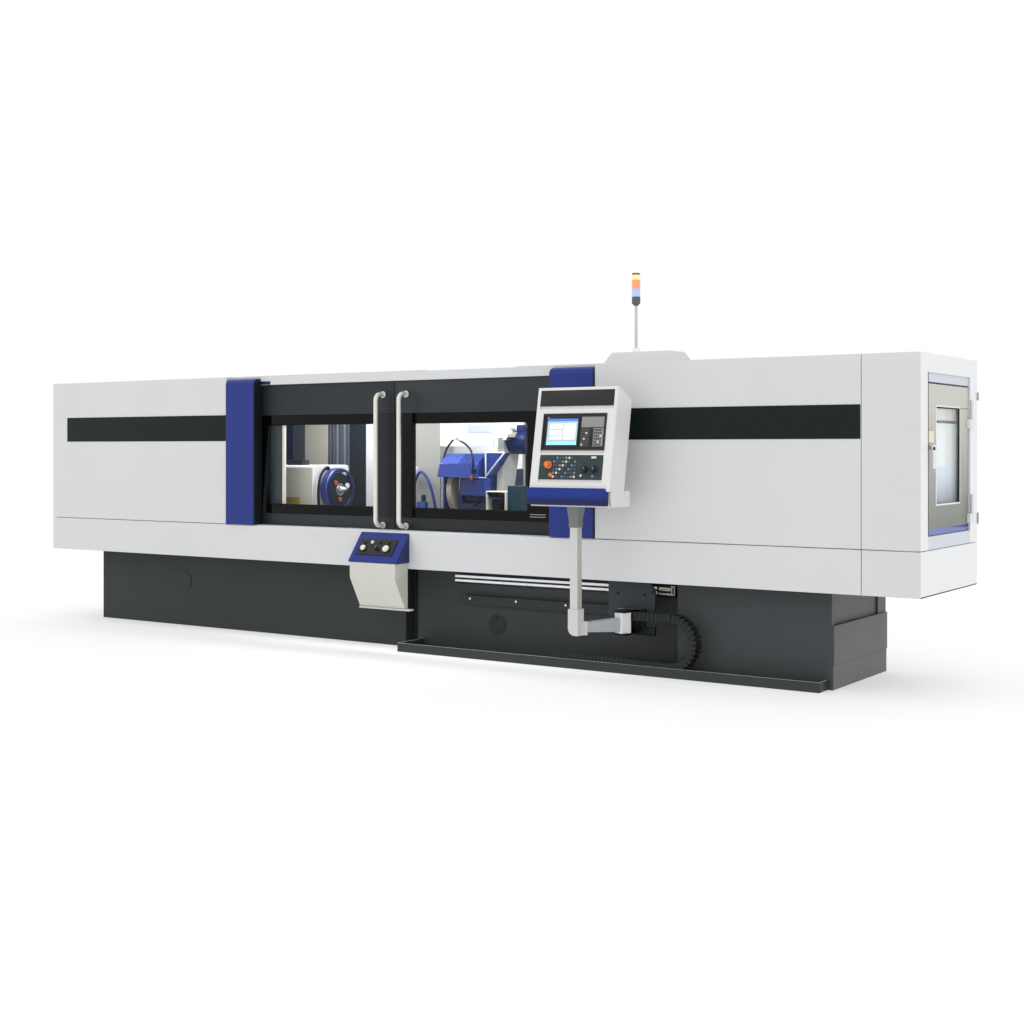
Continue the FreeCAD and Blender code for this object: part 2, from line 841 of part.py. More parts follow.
def door_handle(name, x):
    """A long tube handle that turns in to the door at both ends."""
    y_face = door_face_y
    y_tube = door_face_y - handle_reach
    z0 = handle_bottom + handle_diameter / 2
    z1 = handle_bottom + handle_height - handle_diameter / 2
    b = handle_bend
    h = b * (1 - math.cos(math.radians(45)))
    foot = handle_foot_thick
    path = Part.Wire([
        Part.LineSegment(V(x, y_face - foot, z0), V(x, y_tube + b, z0)).toShape(),
        Part.Arc(V(x, y_tube + b, z0), V(x, y_tube + h, z0 + h), V(x, y_tube, z0 + b)).toShape(),
        Part.LineSegment(V(x, y_tube, z0 + b), V(x, y_tube, z1 - b)).toShape(),
        Part.Arc(V(x, y_tube, z1 - b), V(x, y_tube + h, z1 - h), V(x, y_tube + b, z1)).toShape(),
        Part.LineSegment(V(x, y_tube + b, z1), V(x, y_face - foot, z1)).toShape()])
    ring = Part.Wire([Part.makeCircle(handle_diameter / 2, V(x, y_face - foot, z0), V(0, -1, 0))])
    keep(name, path.makePipeShell([ring], True, False))
    for z in (z0, z1):
        keep(name, rod((x, y_face, z), (0, -1, 0), foot, handle_foot_diameter))


def make_doors():
    left_x = doorway_x + running_gap - door_overlap
    right_x = doorway_end - running_gap + door_overlap
    split_gap = panel_seam / 2
    door_frame("door_left", left_x, door_split - split_gap,
               left_window_border + door_overlap, window_border_side + window_border_outer / 2)
    door_frame("door_right", door_split + split_gap, right_x,
               window_border_side + window_border_outer / 3, window_border_side + 2 * window_border_outer)
    door_handle("door_left_handle", door_split - handle_gap_from_split)
    door_handle("door_right_handle", door_split + handle_gap_from_split)


def make_end_door():
    x1 = right_end - end_door_setback
    x0 = x1 - end_door_thick
    y0 = end_door_y + panel_seam
    y1 = end_door_y + end_door_width - panel_seam
    z0 = end_door_bottom + panel_seam
    z1 = end_door_bottom + end_door_height
    wy1 = end_window_y + end_window_width
    wz1 = end_window_bottom + end_window_height
    band = z0 + end_band_height
    keep("end_door", block(x0, x1, y0, y1, z0, band), block(x0, x1, y0, y1, wz1, z1),
         block(x0, x1, y0, y1, band, end_window_bottom),
         block(x0, x1, y0, end_window_y, end_window_bottom, wz1),
         block(x0, x1, wy1, y1, end_window_bottom, wz1))
    keep("end_door_window", block(x0 + end_door_thick / 4, x0 + end_door_thick / 2,
                                  end_window_y, wy1, end_window_bottom, wz1))
    x, y = hinge_axis()
    for share in (hinge_low_share, hinge_high_share):
        z = end_door_bottom + end_door_height * share - running_gap
        pin = rod((x, y, z), (0, 0, 1), hinge_knuckle_height, hinge_pin_diameter)
        base = rod((x, y, z - hinge_knuckle_height / 2), (0, 0, 1),
                   hinge_knuckle_height / 2, hinge_knuckle_diameter)
        leaf_z = z - hinge_knuckle_height / 2
        foot = block(x1, x, y1 - hinge_knuckle_diameter, y1, leaf_z, z)
        leaf = block(right_end + running_gap, x, y1, y, leaf_z, z)
        keep("end_door", base.fuse([pin, foot, leaf]).removeSplitter())
    boss = rod((x1, lever_y, lever_z), (1, 0, 0), lever_stand_off, lever_boss_diameter)
    grip = block(x1 + lever_stand_off, x1 + lever_stand_off + lever_thick,
                 lever_y - lever_width / 2, lever_y + lever_width / 2,
                 lever_z - lever_length + lever_width, lever_z + lever_width)
    grip = round_some(grip, lever_thick / 3, lambda c, d: c.x > x1 + lever_stand_off + lever_thick / 2)
    keep("end_door_lever", boss.fuse(grip).removeSplitter())
    keep("end_door", block(x1, x1 + lever_thick / 4, lever_y - lever_plate_width / 2,
                           lever_y + lever_plate_width / 2, lever_z + lever_boss_diameter,
                           lever_z + lever_boss_diameter + lever_plate_height))


def make_carriage():
    x0 = carriage_x
    x1 = carriage_x + carriage_width
    y0 = carriage_front_y
    y1 = y0 + carriage_plate
    plate = block(x0, x1, y0, y1, carriage_bottom, carriage_top)
    plate = round_some(plate, carriage_corner, lambda c, d: abs(d.y) > 0.99 and c.x > x1 - running_gap)
    keep("pendant_carriage", plate)
    rail_front = right_bed_front_y - rail_back_depth - rail_bar_depth
    bx0 = x0 + carriage_block_margin
    bx1 = x1 - carriage_block_margin - carriage_corner
    high = rail_top_z + rail_bar_height + running_gap
    low = rail_low_z - running_gap
    keep("pendant_carriage",
         block(bx0, bx1, y1, rail_front - running_gap, low - carriage_lip, high + carriage_lip),
         block(bx0, bx1, rail_front - running_gap, rail_front + rail_bar_depth - running_gap,
               high, high + carriage_lip),
         block(bx0, bx1, rail_front - running_gap, rail_front + rail_bar_depth - running_gap,
               low - carriage_lip, low))
    for n in range(2):
        keep("pendant_carriage", rod((x0 + carriage_screw_inset + n * carriage_screw_pitch, y0,
                                      carriage_screw_z), (0, -1, 0), carriage_screw_head,
                                     carriage_screw_diameter))
    box_top = arm_box_bottom + arm_box_height
    web_y = y0 - lug_web_thick
    lug_x0 = arm_pivot_x - lug_width / 2
    lug_x1 = arm_pivot_x + lug_width / 2
    lug_y = arm_pivot_y - lug_width / 2
    low_z = arm_box_bottom - running_gap - lug_thick
    high_z = box_top + running_gap + lug_thick
    bracket_x = lug_x1 + chain_bracket_length
    bracket_top = chain_bracket_bottom + chain_bracket_height
    wall = chain_bracket_wall
    bracket = block(lug_x1, bracket_x, web_y, y0, chain_bracket_bottom, bracket_top)
    keep("pendant_carriage", block(lug_x0, lug_x1, web_y, y0, low_z, high_z),
         block(lug_x1, chain_moving_x + chain_clamp_length, web_y, y0, bracket_top, high_z),
         bracket.cut(block(lug_x1 + wall, bracket_x - wall, web_y - cut_over, y0 - wall,
                           chain_bracket_bottom + wall, bracket_top - wall)))
    pin = rod((arm_pivot_x, arm_pivot_y, low_z), (0, 0, 1), high_z - low_z, arm_pin_diameter)
    low_lug = block(lug_x0, lug_x1, lug_y, web_y, low_z, low_z + lug_thick)
    high_lug = block(lug_x0, lug_x1, lug_y, web_y, high_z - lug_thick, high_z)
    keep("pendant_carriage", low_lug.cut(pin), high_lug.cut(pin), pin)


def make_arm():
    """The arm along X from its pivot, turned to its angle, and the post square to the machine."""
    z0 = arm_box_bottom
    z1 = z0 + arm_box_height
    half = arm_box_width / 2
    bore = rod((0, 0, z0 - cut_over), (0, 0, 1), arm_box_height + 2 * cut_over,
               arm_pin_diameter + 2 * arm_pin_clearance)
    box = block(-half, half, -half, half, z0, z1)
    box = round_some(box, arm_box_round, lambda c, d: along_z(d)).cut(bore)
    tube_end = arm_reach - elbow_collar_reach
    tube = Part.makeLoft([end_ring(half, arm_tube_width, arm_tube_height),
                          end_ring(tube_end, arm_tube_width, arm_tube_end_height)], True, True)
    tube = round_some(tube, arm_box_round, lambda c, d: abs(d.x) > abs(d.y) + abs(d.z))
    collar = block(tube_end, arm_reach, -elbow_collar_width / 2, elbow_collar_width / 2,
                   elbow_bottom, elbow_bottom + elbow_collar_height)
    for solid in (box, tube, collar):
        solid.rotate(V(0, 0, 0), V(0, 0, 1), arm_angle)
        solid.translate(V(arm_pivot_x, arm_pivot_y, 0))
    keep("pendant_arm", box, tube)

    post_z = elbow_bottom + elbow_height
    elbow = round_some(post_block(elbow_width, elbow_bottom, post_z), elbow_round,
                       lambda c, d: abs(d.y) > 0.99 and c.z < elbow_bottom + running_gap and c.x < elbow_x)
    keep("pendant_post", elbow.fuse(collar).removeSplitter())
    post = round_some(post_block(post_width, post_z, post_top), post_round, lambda c, d: along_z(d))
    spigot = rod((elbow_x, elbow_y, post_top), (0, 0, 1), spigot_height, spigot_diameter)
    keep("pendant_post", post.fuse(spigot).removeSplitter())


def end_ring(x, width, height):
    """A closed upright outline across the arm's axis."""
    corners = ((-1, -1), (1, -1), (1, 1), (-1, 1), (-1, -1))
    return Part.makePolygon([V(x, a * width / 2, arm_axis_z + b * height / 2) for a, b in corners])


def post_block(width, z0, z1):
    """A square block about the post's axis."""
    half = width / 2
    return block(elbow_x - half, elbow_x + half, elbow_y - half, elbow_y + half, z0, z1)


def square_ring(size, radius, z):
    """A closed square outline with round corners, about the post's axis."""
    h = size / 2
    r = radius
    k = r * (1 - math.cos(math.radians(45)))
    edges = []
    corners = [(1, 1), (-1, 1), (-1, -1), (1, -1)]
    points = []
    for sx, sy in corners:
        a = (sx * (h - (0 if sx * sy > 0 else r)), sy * (h - (r if sx * sy > 0 else 0)))
        b = (sx * (h - (r if sx * sy > 0 else 0)), sy * (h - (0 if sx * sy > 0 else r)))
        m = (sx * (h - k), sy * (h - k))
        points.append((V(*a, z), V(*m, z), V(*b, z)))
    for n, (a, m, b) in enumerate(points):
        edges.append(Part.Arc(a, m, b).toShape())
        edges.append(Part.LineSegment(b, points[(n + 1) % len(points)][0]).toShape())
    return Part.Wire(edges)


def make_socket():
    z0 = post_top + running_gap
    z1 = pendant_bottom
    socket = Part.makeLoft([square_ring(socket_low_width, socket_round, z0),
                            square_ring(socket_low_width, socket_round, z0 + socket_straight_height),
                            square_ring(socket_high_width, socket_round, z1)], True, True)
    bore = rod((0, 0, z0 - cut_over), (0, 0, 1), spigot_height + cut_over + running_gap,
               spigot_diameter + 2 * spigot_clearance)
    socket = socket.cut(bore)
    socket.translate(V(elbow_x, elbow_y, 0))
    keep("pendant_socket", socket)


def face_block(x0, x1, v0, v1, w0, w1):
    """A block on the pendant's leaning face, v up the face and w out of it."""
    return on_leaning_face(block(x0, x1, -w1, -w0, v0, v1), pendant_face_y, pendant_face_z, pendant_lean)


def face_rod(x, v, w, length, diameter):
    """A round piece that stands out of the pendant's leaning face."""
    return on_leaning_face(rod((x, -w, v), (0, -1, 0), length, diameter),
                           pendant_face_y, pendant_face_z, pendant_lean)


def make_pendant():
    x0 = pendant_start_x
    x1 = x0 + pendant_width
    height = pendant_face_height
    outline = [(0, 0), (0, height), (pendant_depth, height - pendant_top_slope), (pendant_depth, 0)]
    body = side_prism(outline, x0, x1)
    body = round_some(body, pendant_edge_round, lambda c, d: not along_x(d) and abs(d.y) < 0.3
                      or (along_x(d) and c.z > height / 2))
    panel_x0 = x0 + panel_left_margin
    panel_x1 = x1 - panel_right_margin
    panels = ((x0 + header_left_margin, x1 - header_right_margin, header_panel_bottom, header_panel_height),
              (panel_x0, panel_x1, screen_panel_bottom, screen_panel_height),
              (panel_x0, panel_x1, operator_panel_bottom, operator_panel_height))
    for px0, px1, v, h in panels:
        body = body.cut(block(px0, px1, -cut_over, face_recess, v, v + h))
    body = on_leaning_face(body, pendant_face_y, pendant_face_z, pendant_lean)
    below = block(x0 - cut_over, x1 + cut_over, pendant_face_y - height, pendant_face_y + height,
                  pendant_face_z - height, pendant_face_z)
    keep("pendant_housing", body.cut(below))
    shelf = block(x0, x1, shelf_front_y, shelf_front_y + shelf_depth, pendant_bottom, pendant_face_z)
    shelf = round_some(shelf, pendant_edge_round, lambda c, d: along_z(d)
                       and c.y > shelf_front_y + shelf_depth / 2)
    keep("pendant_housing", shelf)
    for px0, px1, v, h in panels:
        keep("pendant_panels", face_block(px0, px1, v, v + h, -face_recess,
                                          panel_thick / 2 - face_recess))
    sx0 = panel_x0 + screen_margin
    sv0 = screen_panel_bottom + (screen_panel_height - screen_height) / 2
    keep("pendant_panels", face_block(sx0, sx0 + screen_width, sv0, sv0 + screen_height,
                                      panel_thick / 2 - face_recess, screen_proud))
    kx0 = sx0 + screen_width + screen_margin / 2
    keep("pendant_panels", face_block(kx0, kx0 + keypad_width, sv0, sv0 + screen_height,
                                      panel_thick / 2 - face_recess, screen_proud / 2))
    front_y = shelf_front_y - wrist_depth
    seat = math.tan(math.radians(pendant_lean)) * wrist_lift
    outline = [(front_y, pendant_bottom + wrist_drop), (front_y, pendant_face_z + wrist_lift),
               (pendant_face_y + seat, pendant_face_z + wrist_lift), (pendant_face_y, pendant_face_z),
               (shelf_front_y, pendant_face_z), (shelf_front_y, pendant_bottom + wrist_drop)]
    wrist = side_prism(outline, x0, x1 - wrist_end_margin)
    wrist = round_some(wrist, wrist_round, lambda c, d: along_x(d)
                       and c.y < front_y + running_gap and c.z < pendant_face_z)
    wrist = round_some(wrist, wrist_drop, lambda c, d: along_x(d)
                       and c.y < front_y + running_gap and c.z > pendant_face_z)
    keep("wrist_rest", wrist)


def panel_place(share, height_share):
    """A place on the operator panel, as x and height up the face."""
    x0 = pendant_start_x + panel_left_margin
    width = pendant_width - panel_left_margin - panel_right_margin
    return x0 + width * share, operator_panel_bottom + operator_panel_height * height_share


def make_pendant_controls():
    floor_w = panel_thick / 2 - face_recess
    x, v = panel_place(estop_share, estop_height_share)
    collar = face_rod(x, v, floor_w, estop_collar_thick, estop_collar_diameter)
    bore = face_rod(x, v, floor_w - cut_over, estop_collar_thick + 2 * cut_over,
                    stem_diameter + 2 * shaft_clearance)
    keep("pendant_panels", collar.cut(bore))
    head_w = floor_w + estop_collar_thick + button_travel + running_gap
    head = face_rod(x, v, head_w, estop_length - button_travel, estop_diameter)
    stem = face_rod(x, v, floor_w + button_travel + running_gap, head_w - floor_w, stem_diameter)
    keep("estop_button", head.fuse(stem).removeSplitter())
    for name, share in (("feed_knob", feed_knob_share), ("spindle_knob", spindle_knob_share)):
        x, v = panel_place(share, knob_height_share)
        keep(name, face_rod(x, v, floor_w + running_gap, panel_knob_length, panel_knob_diameter))


def chain_link(length, low):
    """One chain link at the origin, its length along X from 0 and its underside at z = low."""
    return block(chain_link_gap / 2, length - chain_link_gap / 2, chain_y, chain_y + chain_width,
                 low, chain_height / 2)


def make_chain():
    high_z = chain_low_z + 2 * chain_radius
    for name, x0, x1, z in (("chain_lower_run", chain_fixed_x, chain_bend_x, chain_low_z),
                            ("chain_upper_run", chain_moving_x, chain_bend_x, high_z)):
        count = max(1, round((x1 - x0) / chain_pitch))
        for n in range(count):
            link = chain_link((x1 - x0) / count, -chain_height / 2)
            link.translate(V(x0 + n * (x1 - x0) / count, 0, z))
            keep(name, link)
    step = 180.0 / chain_bend_links
    chord = 2 * (chain_radius - chain_height / 2) * math.tan(math.radians(step / 2))
    outer = math.sqrt((chain_radius + chain_height / 2) ** 2 - (chord / 2) ** 2)
    for n in range(chain_bend_links):
        link = chain_link(chord, chain_radius - outer)
        link.translate(V(-chord / 2, 0, -chain_radius))
        link.rotate(V(0, 0, 0), V(0, -1, 0), (n + 0.5) * step)
        link.translate(V(chain_bend_x, 0, chain_low_z + chain_radius))
        keep("chain_bend", link)


def station_block(x0, x1, v0, v1, w0, w1):
    """A block on the station's sloping top, v up the slope from its lower edge."""
    return on_leaning_face(block(x0, x1, -w1, -w0, v0, v1), -station_reach, station_break_z, station_lean)


def station_rod(x, v, w, length, diameter):
    return on_leaning_face(rod((x, -w, v), (0, -1, 0), length, diameter),
                           -station_reach, station_break_z, station_lean)


def station_place(share):
    width = station_width - station_panel_left_margin - station_panel_right_margin
    x = station_x + station_panel_left_margin + width * share
    return x, station_panel_low + station_panel_height * station_row_share


def make_station():
    x0 = station_x
    x1 = station_x + station_width
    cap_z = station_break_z - station_cap_thick
    cap = [(-running_gap, station_top_z), (-station_reach, station_break_z),
           (-station_reach, cap_z), (-running_gap, cap_z)]
    keep("station_top", side_prism(cap, x0, x1))
    outline = [(-station_foot_reach, station_base_z), (-running_gap, station_base_z),
               (-running_gap, cap_z), (-station_reach, cap_z), (-station_reach, station_knee_z)]
    body = side_prism(outline, x0 + station_body_inset, x1 - station_body_inset)
    keep("station_body", round_some(body, station_knee_round, lambda c, d: along_x(d)
                                    and abs(c.z - station_knee_z) < running_gap
                                    and c.y < running_gap - station_reach))
    keep("station_body", block(x0 + station_body_inset, x1 + station_lip_reach,
                               -station_foot_reach - station_lip, -running_gap,
                               station_base_z - station_lip_height, station_base_z))
    px0 = x0 + station_panel_left_margin
    px1 = x1 - station_panel_right_margin
    panel = station_block(px0, px1, station_panel_low, station_panel_low + station_panel_height,
                          0, station_panel_thick)
    keep("station_top", panel)
    top_w = station_panel_thick
    for name, share, diameter in (("station_start_button", station_start_share, station_start_diameter),
                                  ("station_stop_button", station_stop_share, station_stop_diameter)):
        x, v = station_place(share)
        bezel = station_rod(x, v, top_w, station_bezel_thick, diameter + 2 * station_bezel_wall)
        bore = station_rod(x, v, top_w - cut_over, station_bezel_thick + 2 * cut_over,
                           diameter + 2 * shaft_clearance)
        keep("station_top", bezel.cut(bore))
        keep(name, station_rod(x, v, top_w + button_travel + running_gap, station_button_length, diameter))
    x, v = station_place(station_knob_share)
    keep("station_knob", station_rod(x, v, top_w + running_gap, station_knob_length, station_knob_diameter))


def make_ways():
    z1 = bed_top + way_height
    left_start = left_end + left_bed_inset + way_margin
    for y in (front_way_y, rear_way_y):
        keep("slide_ways", block(left_start, right_bed_end - way_margin, y, y + way_width, bed_top, z1))
    for n in range(2):
        x = slide_way_x + n * slide_way_span
        keep("slide_ways", block(x, x + way_width, slide_way_start_y, rear_bed_end_y - way_margin,
                                 bed_top, z1))


def make_table():
    z0 = bed_top + way_height + running_gap
    table = block(table_start, table_start + table_length, table_y, table_y + table_width, z0, table_top)
    for n in range(table_slots):
        y = table_y + table_width * (n + 1) / (table_slots + 1)
        table = table.cut(block(table_start - cut_over, table_start + table_length + cut_over,
                                y - table_slot_width / 2, y + table_slot_width / 2,
                                table_top - table_slot_depth, table_top + cut_over))
    keep("work_table", table)


def machine_head(x0, x1, width, top, base_height):
    """A workhead or tailstock body: a wide foot and a body with sloping shoulders."""
    y0 = work_axis_y - width / 2
    y1 = work_axis_y + width / 2
    z = table_top + base_height
    s = headstock_shoulder
    foot = block(x0, x1, y0, y1, table_top, z)
    body = side_prism([(y0, z), (y0, top - s), (y0 + s, top), (y1 - s, top), (y1, top - s), (y1, z)], x0, x1)
    return foot.fuse(body).removeSplitter()


def make_workhead():
    x0 = headstock_start
    x1 = x0 + headstock_length
    body = machine_head(x0, x1, headstock_width, headstock_top, headstock_base_height)
    nose = rod((x1, work_axis_y, work_axis_z), (1, 0, 0), nose_length, nose_diameter)
    bore = rod((x1 + nose_length + cut_over, work_axis_y, work_axis_z), (-1, 0, 0),
               face_plate_shaft_length + nose_length + 2 * cut_over,
               face_plate_shaft_diameter + 2 * shaft_clearance)
    keep("headstock", body.fuse(nose).removeSplitter().cut(bore))
    keep("headstock", rod((x0, work_axis_y, work_axis_z), (-1, 0, 0),
                          headstock_motor_length, headstock_motor_diameter))
    px = x1 + nose_length + running_gap
    plate = rod((px, work_axis_y, work_axis_z), (1, 0, 0), face_plate_thick, face_plate_diameter)
    shaft = rod((px, work_axis_y, work_axis_z), (-1, 0, 0),
                face_plate_shaft_length + nose_length, face_plate_shaft_diameter)
    tip = Part.makeCone(center_diameter / 2, 0, center_length,
                        V(px + face_plate_thick, work_axis_y, work_axis_z), V(1, 0, 0))
    pin = rod((px + face_plate_thick, work_axis_y, work_axis_z + drive_pin_radius), (1, 0, 0),
              drive_pin_length, drive_pin_diameter)
    keep("face_plate", plate.fuse([shaft, tip, pin]).removeSplitter())


def make_tailstock():
    x0 = tailstock_x
    body = machine_head(x0, x0 + tailstock_length, tailstock_width, tailstock_top, headstock_base_height)
    bore_length = quill_inside + quill_travel + cut_over
    bore = rod((x0 - cut_over, work_axis_y, work_axis_z), (1, 0, 0), bore_length + cut_over,
               quill_diameter + 2 * shaft_clearance)
    keep("tailstock", body.cut(bore))
    quill = rod((x0 - quill_reach, work_axis_y, work_axis_z), (1, 0, 0),
                quill_reach + quill_inside, quill_diameter)
    tip = Part.makeCone(center_diameter / 2, 0, quill_center_length,
                        V(x0 - quill_reach, work_axis_y, work_axis_z), V(-1, 0, 0))
    keep("tailstock_quill", quill.fuse(tip).removeSplitter())


def make_cross_slide():
    z0 = bed_top + way_height + running_gap
    keep("cross_slide", block(slide_start_x, slide_start_x + slide_width, slide_start_y,
                              slide_start_y + slide_depth, z0, slide_top))
    half = upright_width / 2
    upright = block(wheel_x - half, wheel_x + half, upright_y, upright_y + upright_thick,
                    slide_top, upright_top)
    upright = round_some(upright, upright_width / 4, lambda c, d: abs(d.y) > 0.99 and c.z > work_axis_z)
    bore = rod((wheel_x, upright_y - cut_over, work_axis_z), (0, 1, 0), upright_thick + 2 * cut_over,
               trunnion_diameter + 2 * shaft_clearance)
    keep("cross_slide", upright.cut(bore))


def wheel_head_block():
    """The head's block with no bore, up to the tilting flange."""
    head = block(head_start_x, head_start_x + head_width, head_start_y,
                 upright_y - running_gap - trunnion_flange_thick, head_bottom, head_top)
    return round_some(head, head_round, lambda c, d: along_x(d) and c.y < wheel_axis_y)


def make_wheelhead():
    y1 = upright_y - running_gap - trunnion_flange_thick
    flange = rod((wheel_x, y1, work_axis_z), (0, 1, 0), trunnion_flange_thick, trunnion_flange_diameter)
    pin = rod((wheel_x, y1, work_axis_z), (0, 1, 0), trunnion_flange_thick + upright_thick,
              trunnion_diameter)
    keep("wheelhead", flange.fuse(pin).removeSplitter())
    x0 = head_start_x
    x1 = x0 + head_width
    head = wheel_head_block()
    bore = rod((x0 - cut_over, wheel_axis_y, work_axis_z), (1, 0, 0), head_width + 2 * cut_over,
               wheel_shaft_diameter + 2 * shaft_clearance)
    keep("wheelhead", head.cut(bore))
    keep("wheelhead", block(wheel_x - upright_width / 3, x0, y1 - trunnion_flange_thick, y1,
                            head_bottom, head_top))

    wheel = rod((wheel_x - wheel_width / 2, wheel_axis_y, work_axis_z), (1, 0, 0), wheel_width,
                wheel_diameter)
    shaft = rod((wheel_x - wheel_width / 2 - wheel_flange_thick, wheel_axis_y, work_axis_z), (1, 0, 0),
                x1 - running_gap - wheel_x + wheel_width / 2 + wheel_flange_thick, wheel_shaft_diameter)
    keep("grinding_wheel", wheel.cut(shaft), shaft)
    for x in (wheel_x - wheel_width / 2 - wheel_flange_thick, wheel_x + wheel_width / 2):
        ring = rod((x, wheel_axis_y, work_axis_z), (1, 0, 0), wheel_flange_thick, wheel_flange_diameter)
        keep("grinding_wheel", ring.cut(shaft))

    make_wheel_guard()
    make_wheel_motor()
    make_coolant_arm()


def make_wheel_guard():
    """The hood round the wheel, its cover over the head, the nose cover and the gusset."""
    gx0 = head_start_x - guard_width
    outline = [(wheel_axis_y + a * guard_radius, work_axis_z + b * guard_radius)
               for a, b in guard_outline_shares]
    inner = rod((gx0 + guard_wall, wheel_axis_y, work_axis_z), (1, 0, 0), guard_width - 2 * guard_wall,
                wheel_diameter + 2 * guard_clearance)
    eye = rod((gx0 + guard_width / 2, wheel_axis_y, work_axis_z), (1, 0, 0), guard_width,
              wheel_flange_diameter + 2 * guard_wall)
    keep("wheel_guard", side_prism(outline, gx0, head_start_x).cut(inner).cut(eye))
    hood_low = outline[0][1]
    cover_outline = outline[:4] + [(outline[3][0], head_top), (head_start_y, head_top),
                                   (head_start_y, hood_low)]
    keep("wheel_guard", side_prism(cover_outline, head_start_x, head_start_x + hood_length))

    x1 = head_start_x + head_width
    front_y = head_start_y - nose_cover_depth
    nose = block(head_start_x + nose_cover_inset, x1 - nose_cover_inset, front_y, head_start_y,
                 nose_cover_bottom, hood_low - running_gap)
    nose = round_some(nose, nose_cover_round, lambda c, d: c.y < front_y + running_gap
                      and (along_z(d) or (along_x(d) and c.z > nose_cover_bottom + running_gap)))
    keep("wheel_guard", nose)
    y0 = head_start_y - gusset_thick
    corners = ((x1 - gusset_overlap, gusset_top), (x1 + gusset_reach, gusset_top),
               (x1 - gusset_toe_overlap, gusset_bottom))
    ring = [V(x, y0, z) for x, z in corners]
    gusset = Part.Face(Part.makePolygon(ring + ring[:1])).extrude(V(0, wheel_axis_y - y0, 0))
    keep("wheel_guard", gusset.cut(wheel_head_block()).cut(belt_cover_solid())
         .common(block(x1 - gusset_overlap, x1 + gusset_reach, y0, wheel_axis_y - belt_cover_low_radius,
                       gusset_bottom, gusset_top)))


def motor_solid():
    """The motor's body, on the outer side of the belt cover."""
    x0 = head_start_x + head_width + belt_cover_thick
    return rod((x0, motor_y, motor_z), (1, 0, 0), motor_length, motor_diameter)


def belt_cover_solid():
    return belt_outline(belt_cover_low_radius, wheel_axis_y, work_axis_z,
                        belt_cover_high_radius, motor_y, motor_z).extrude(V(belt_cover_thick, 0, 0))


def make_wheel_motor():
    x1 = head_start_x + head_width
    motor = motor_solid()
    keep("wheel_motor", motor)
    box_x = x1 + belt_cover_thick + terminal_box_offset
    keep("wheel_motor", block(box_x, box_x + terminal_box_length, motor_y - terminal_box_width / 2,
                              motor_y + terminal_box_width / 2, motor_z, terminal_box_top).cut(motor))
    keep("belt_cover", belt_cover_solid())
    side_x = x1 + side_box_width
    side_rear_y = side_box_front_y + side_box_depth
    side = block(x1, side_x, side_box_front_y, side_rear_y, side_box_bottom, side_box_top)
    keep("belt_cover", side.cut(block(x1 + side_box_wall, side_x - side_box_wall,
                                      side_box_front_y - cut_over, side_box_front_y + side_box_recess,
                                      side_box_bottom + side_box_wall, side_box_top - side_box_wall)))
    keep("wheel_motor", block(side_x, side_x + side_drive_width, side_box_front_y + side_drive_setback,
                              side_rear_y, side_drive_bottom, side_drive_top))


def formed_pipe(points, diameter):
    """A pipe of straight runs joined by arcs."""
    corners = [V(*point) for point in points]
    edges = []
    start = corners[0]
    for before, corner, after in zip(corners, corners[1:], corners[2:]):
        back = before - corner
        ahead = after - corner
        reach = pipe_bend_share * min(back.Length, ahead.Length)
        back.normalize()
        ahead.normalize()
        half = back.getAngle(ahead) / 2
        inward = (back + ahead).normalize()
        a = corner + back * reach
        b = corner + ahead * reach
        middle = corner + inward * (reach / math.cos(half) - reach * math.tan(half))
        edges.append(Part.LineSegment(start, a).toShape())
        edges.append(Part.Arc(a, middle, b).toShape())
        start = b
    edges.append(Part.LineSegment(start, corners[-1]).toShape())
    ring = Part.Wire(Part.makeCircle(diameter / 2, corners[0], corners[1] - corners[0]))
    return Part.Wire(edges).makePipeShell([ring], True, False)


def make_coolant_arm():
    """The swivel on the motor, its bar, and two formed pipes that hang from the bar's knob."""
    swivel = rod((swivel_x, swivel_start_y, swivel_z), (0, 1, 0), swivel_length, swivel_diameter)
    stay = block(swivel_x - swivel_stay_width / 2, swivel_x + swivel_stay_width / 2,
                 swivel_start_y + swivel_length / 4, motor_y, swivel_z - swivel_stay_height / 2,
                 swivel_z + swivel_stay_height / 2).cut(motor_solid())
    s = coolant_bar_size
    bar_z = swivel_z - coolant_bar_drop
    knob_x = swivel_x - coolant_bar_length
    mid_y = coolant_bar_y + s / 2
    bar = block(knob_x, swivel_x, coolant_bar_y, coolant_bar_y + s, bar_z - s / 2, bar_z + s / 2)
    knob = rod((knob_x, mid_y - coolant_knob_length / 2, bar_z), (0, 1, 0), coolant_knob_length,
               coolant_knob_diameter)
    r = coolant_knob_diameter / 2
    left = [(knob_x + a * r, mid_y, bar_z + b * r) for a, b in left_pipe_shares]
    right = [(knob_x + a * r, mid_y + b * r, bar_z + c * r) for a, b, c in right_pipe_shares]
    end_z = left[-1][2]
    clip = block(left[-1][0] - coolant_pipe_diameter / 2, head_start_x - guard_width,
                 mid_y - pipe_clip_depth / 2, mid_y + pipe_clip_depth / 2,
                 end_z - pipe_clip_height / 2, end_z + pipe_clip_height / 2)
    x, y, z = right[-1]
    half = pipe_end_size / 2
    nozzle = block(x - half, x + half, y - half / 2, y - half / 2 + pipe_end_length, z - 2 * half, z)
    arm = swivel.fuse([stay, bar, knob, clip, nozzle, formed_pipe(left, coolant_pipe_diameter),
                       formed_pipe(right, coolant_pipe_diameter)])
    for solid in nodes["wheel_guard"][:2]:
        arm = arm.cut(solid)
    keep("coolant_arm", arm.removeSplitter().Solids[0])


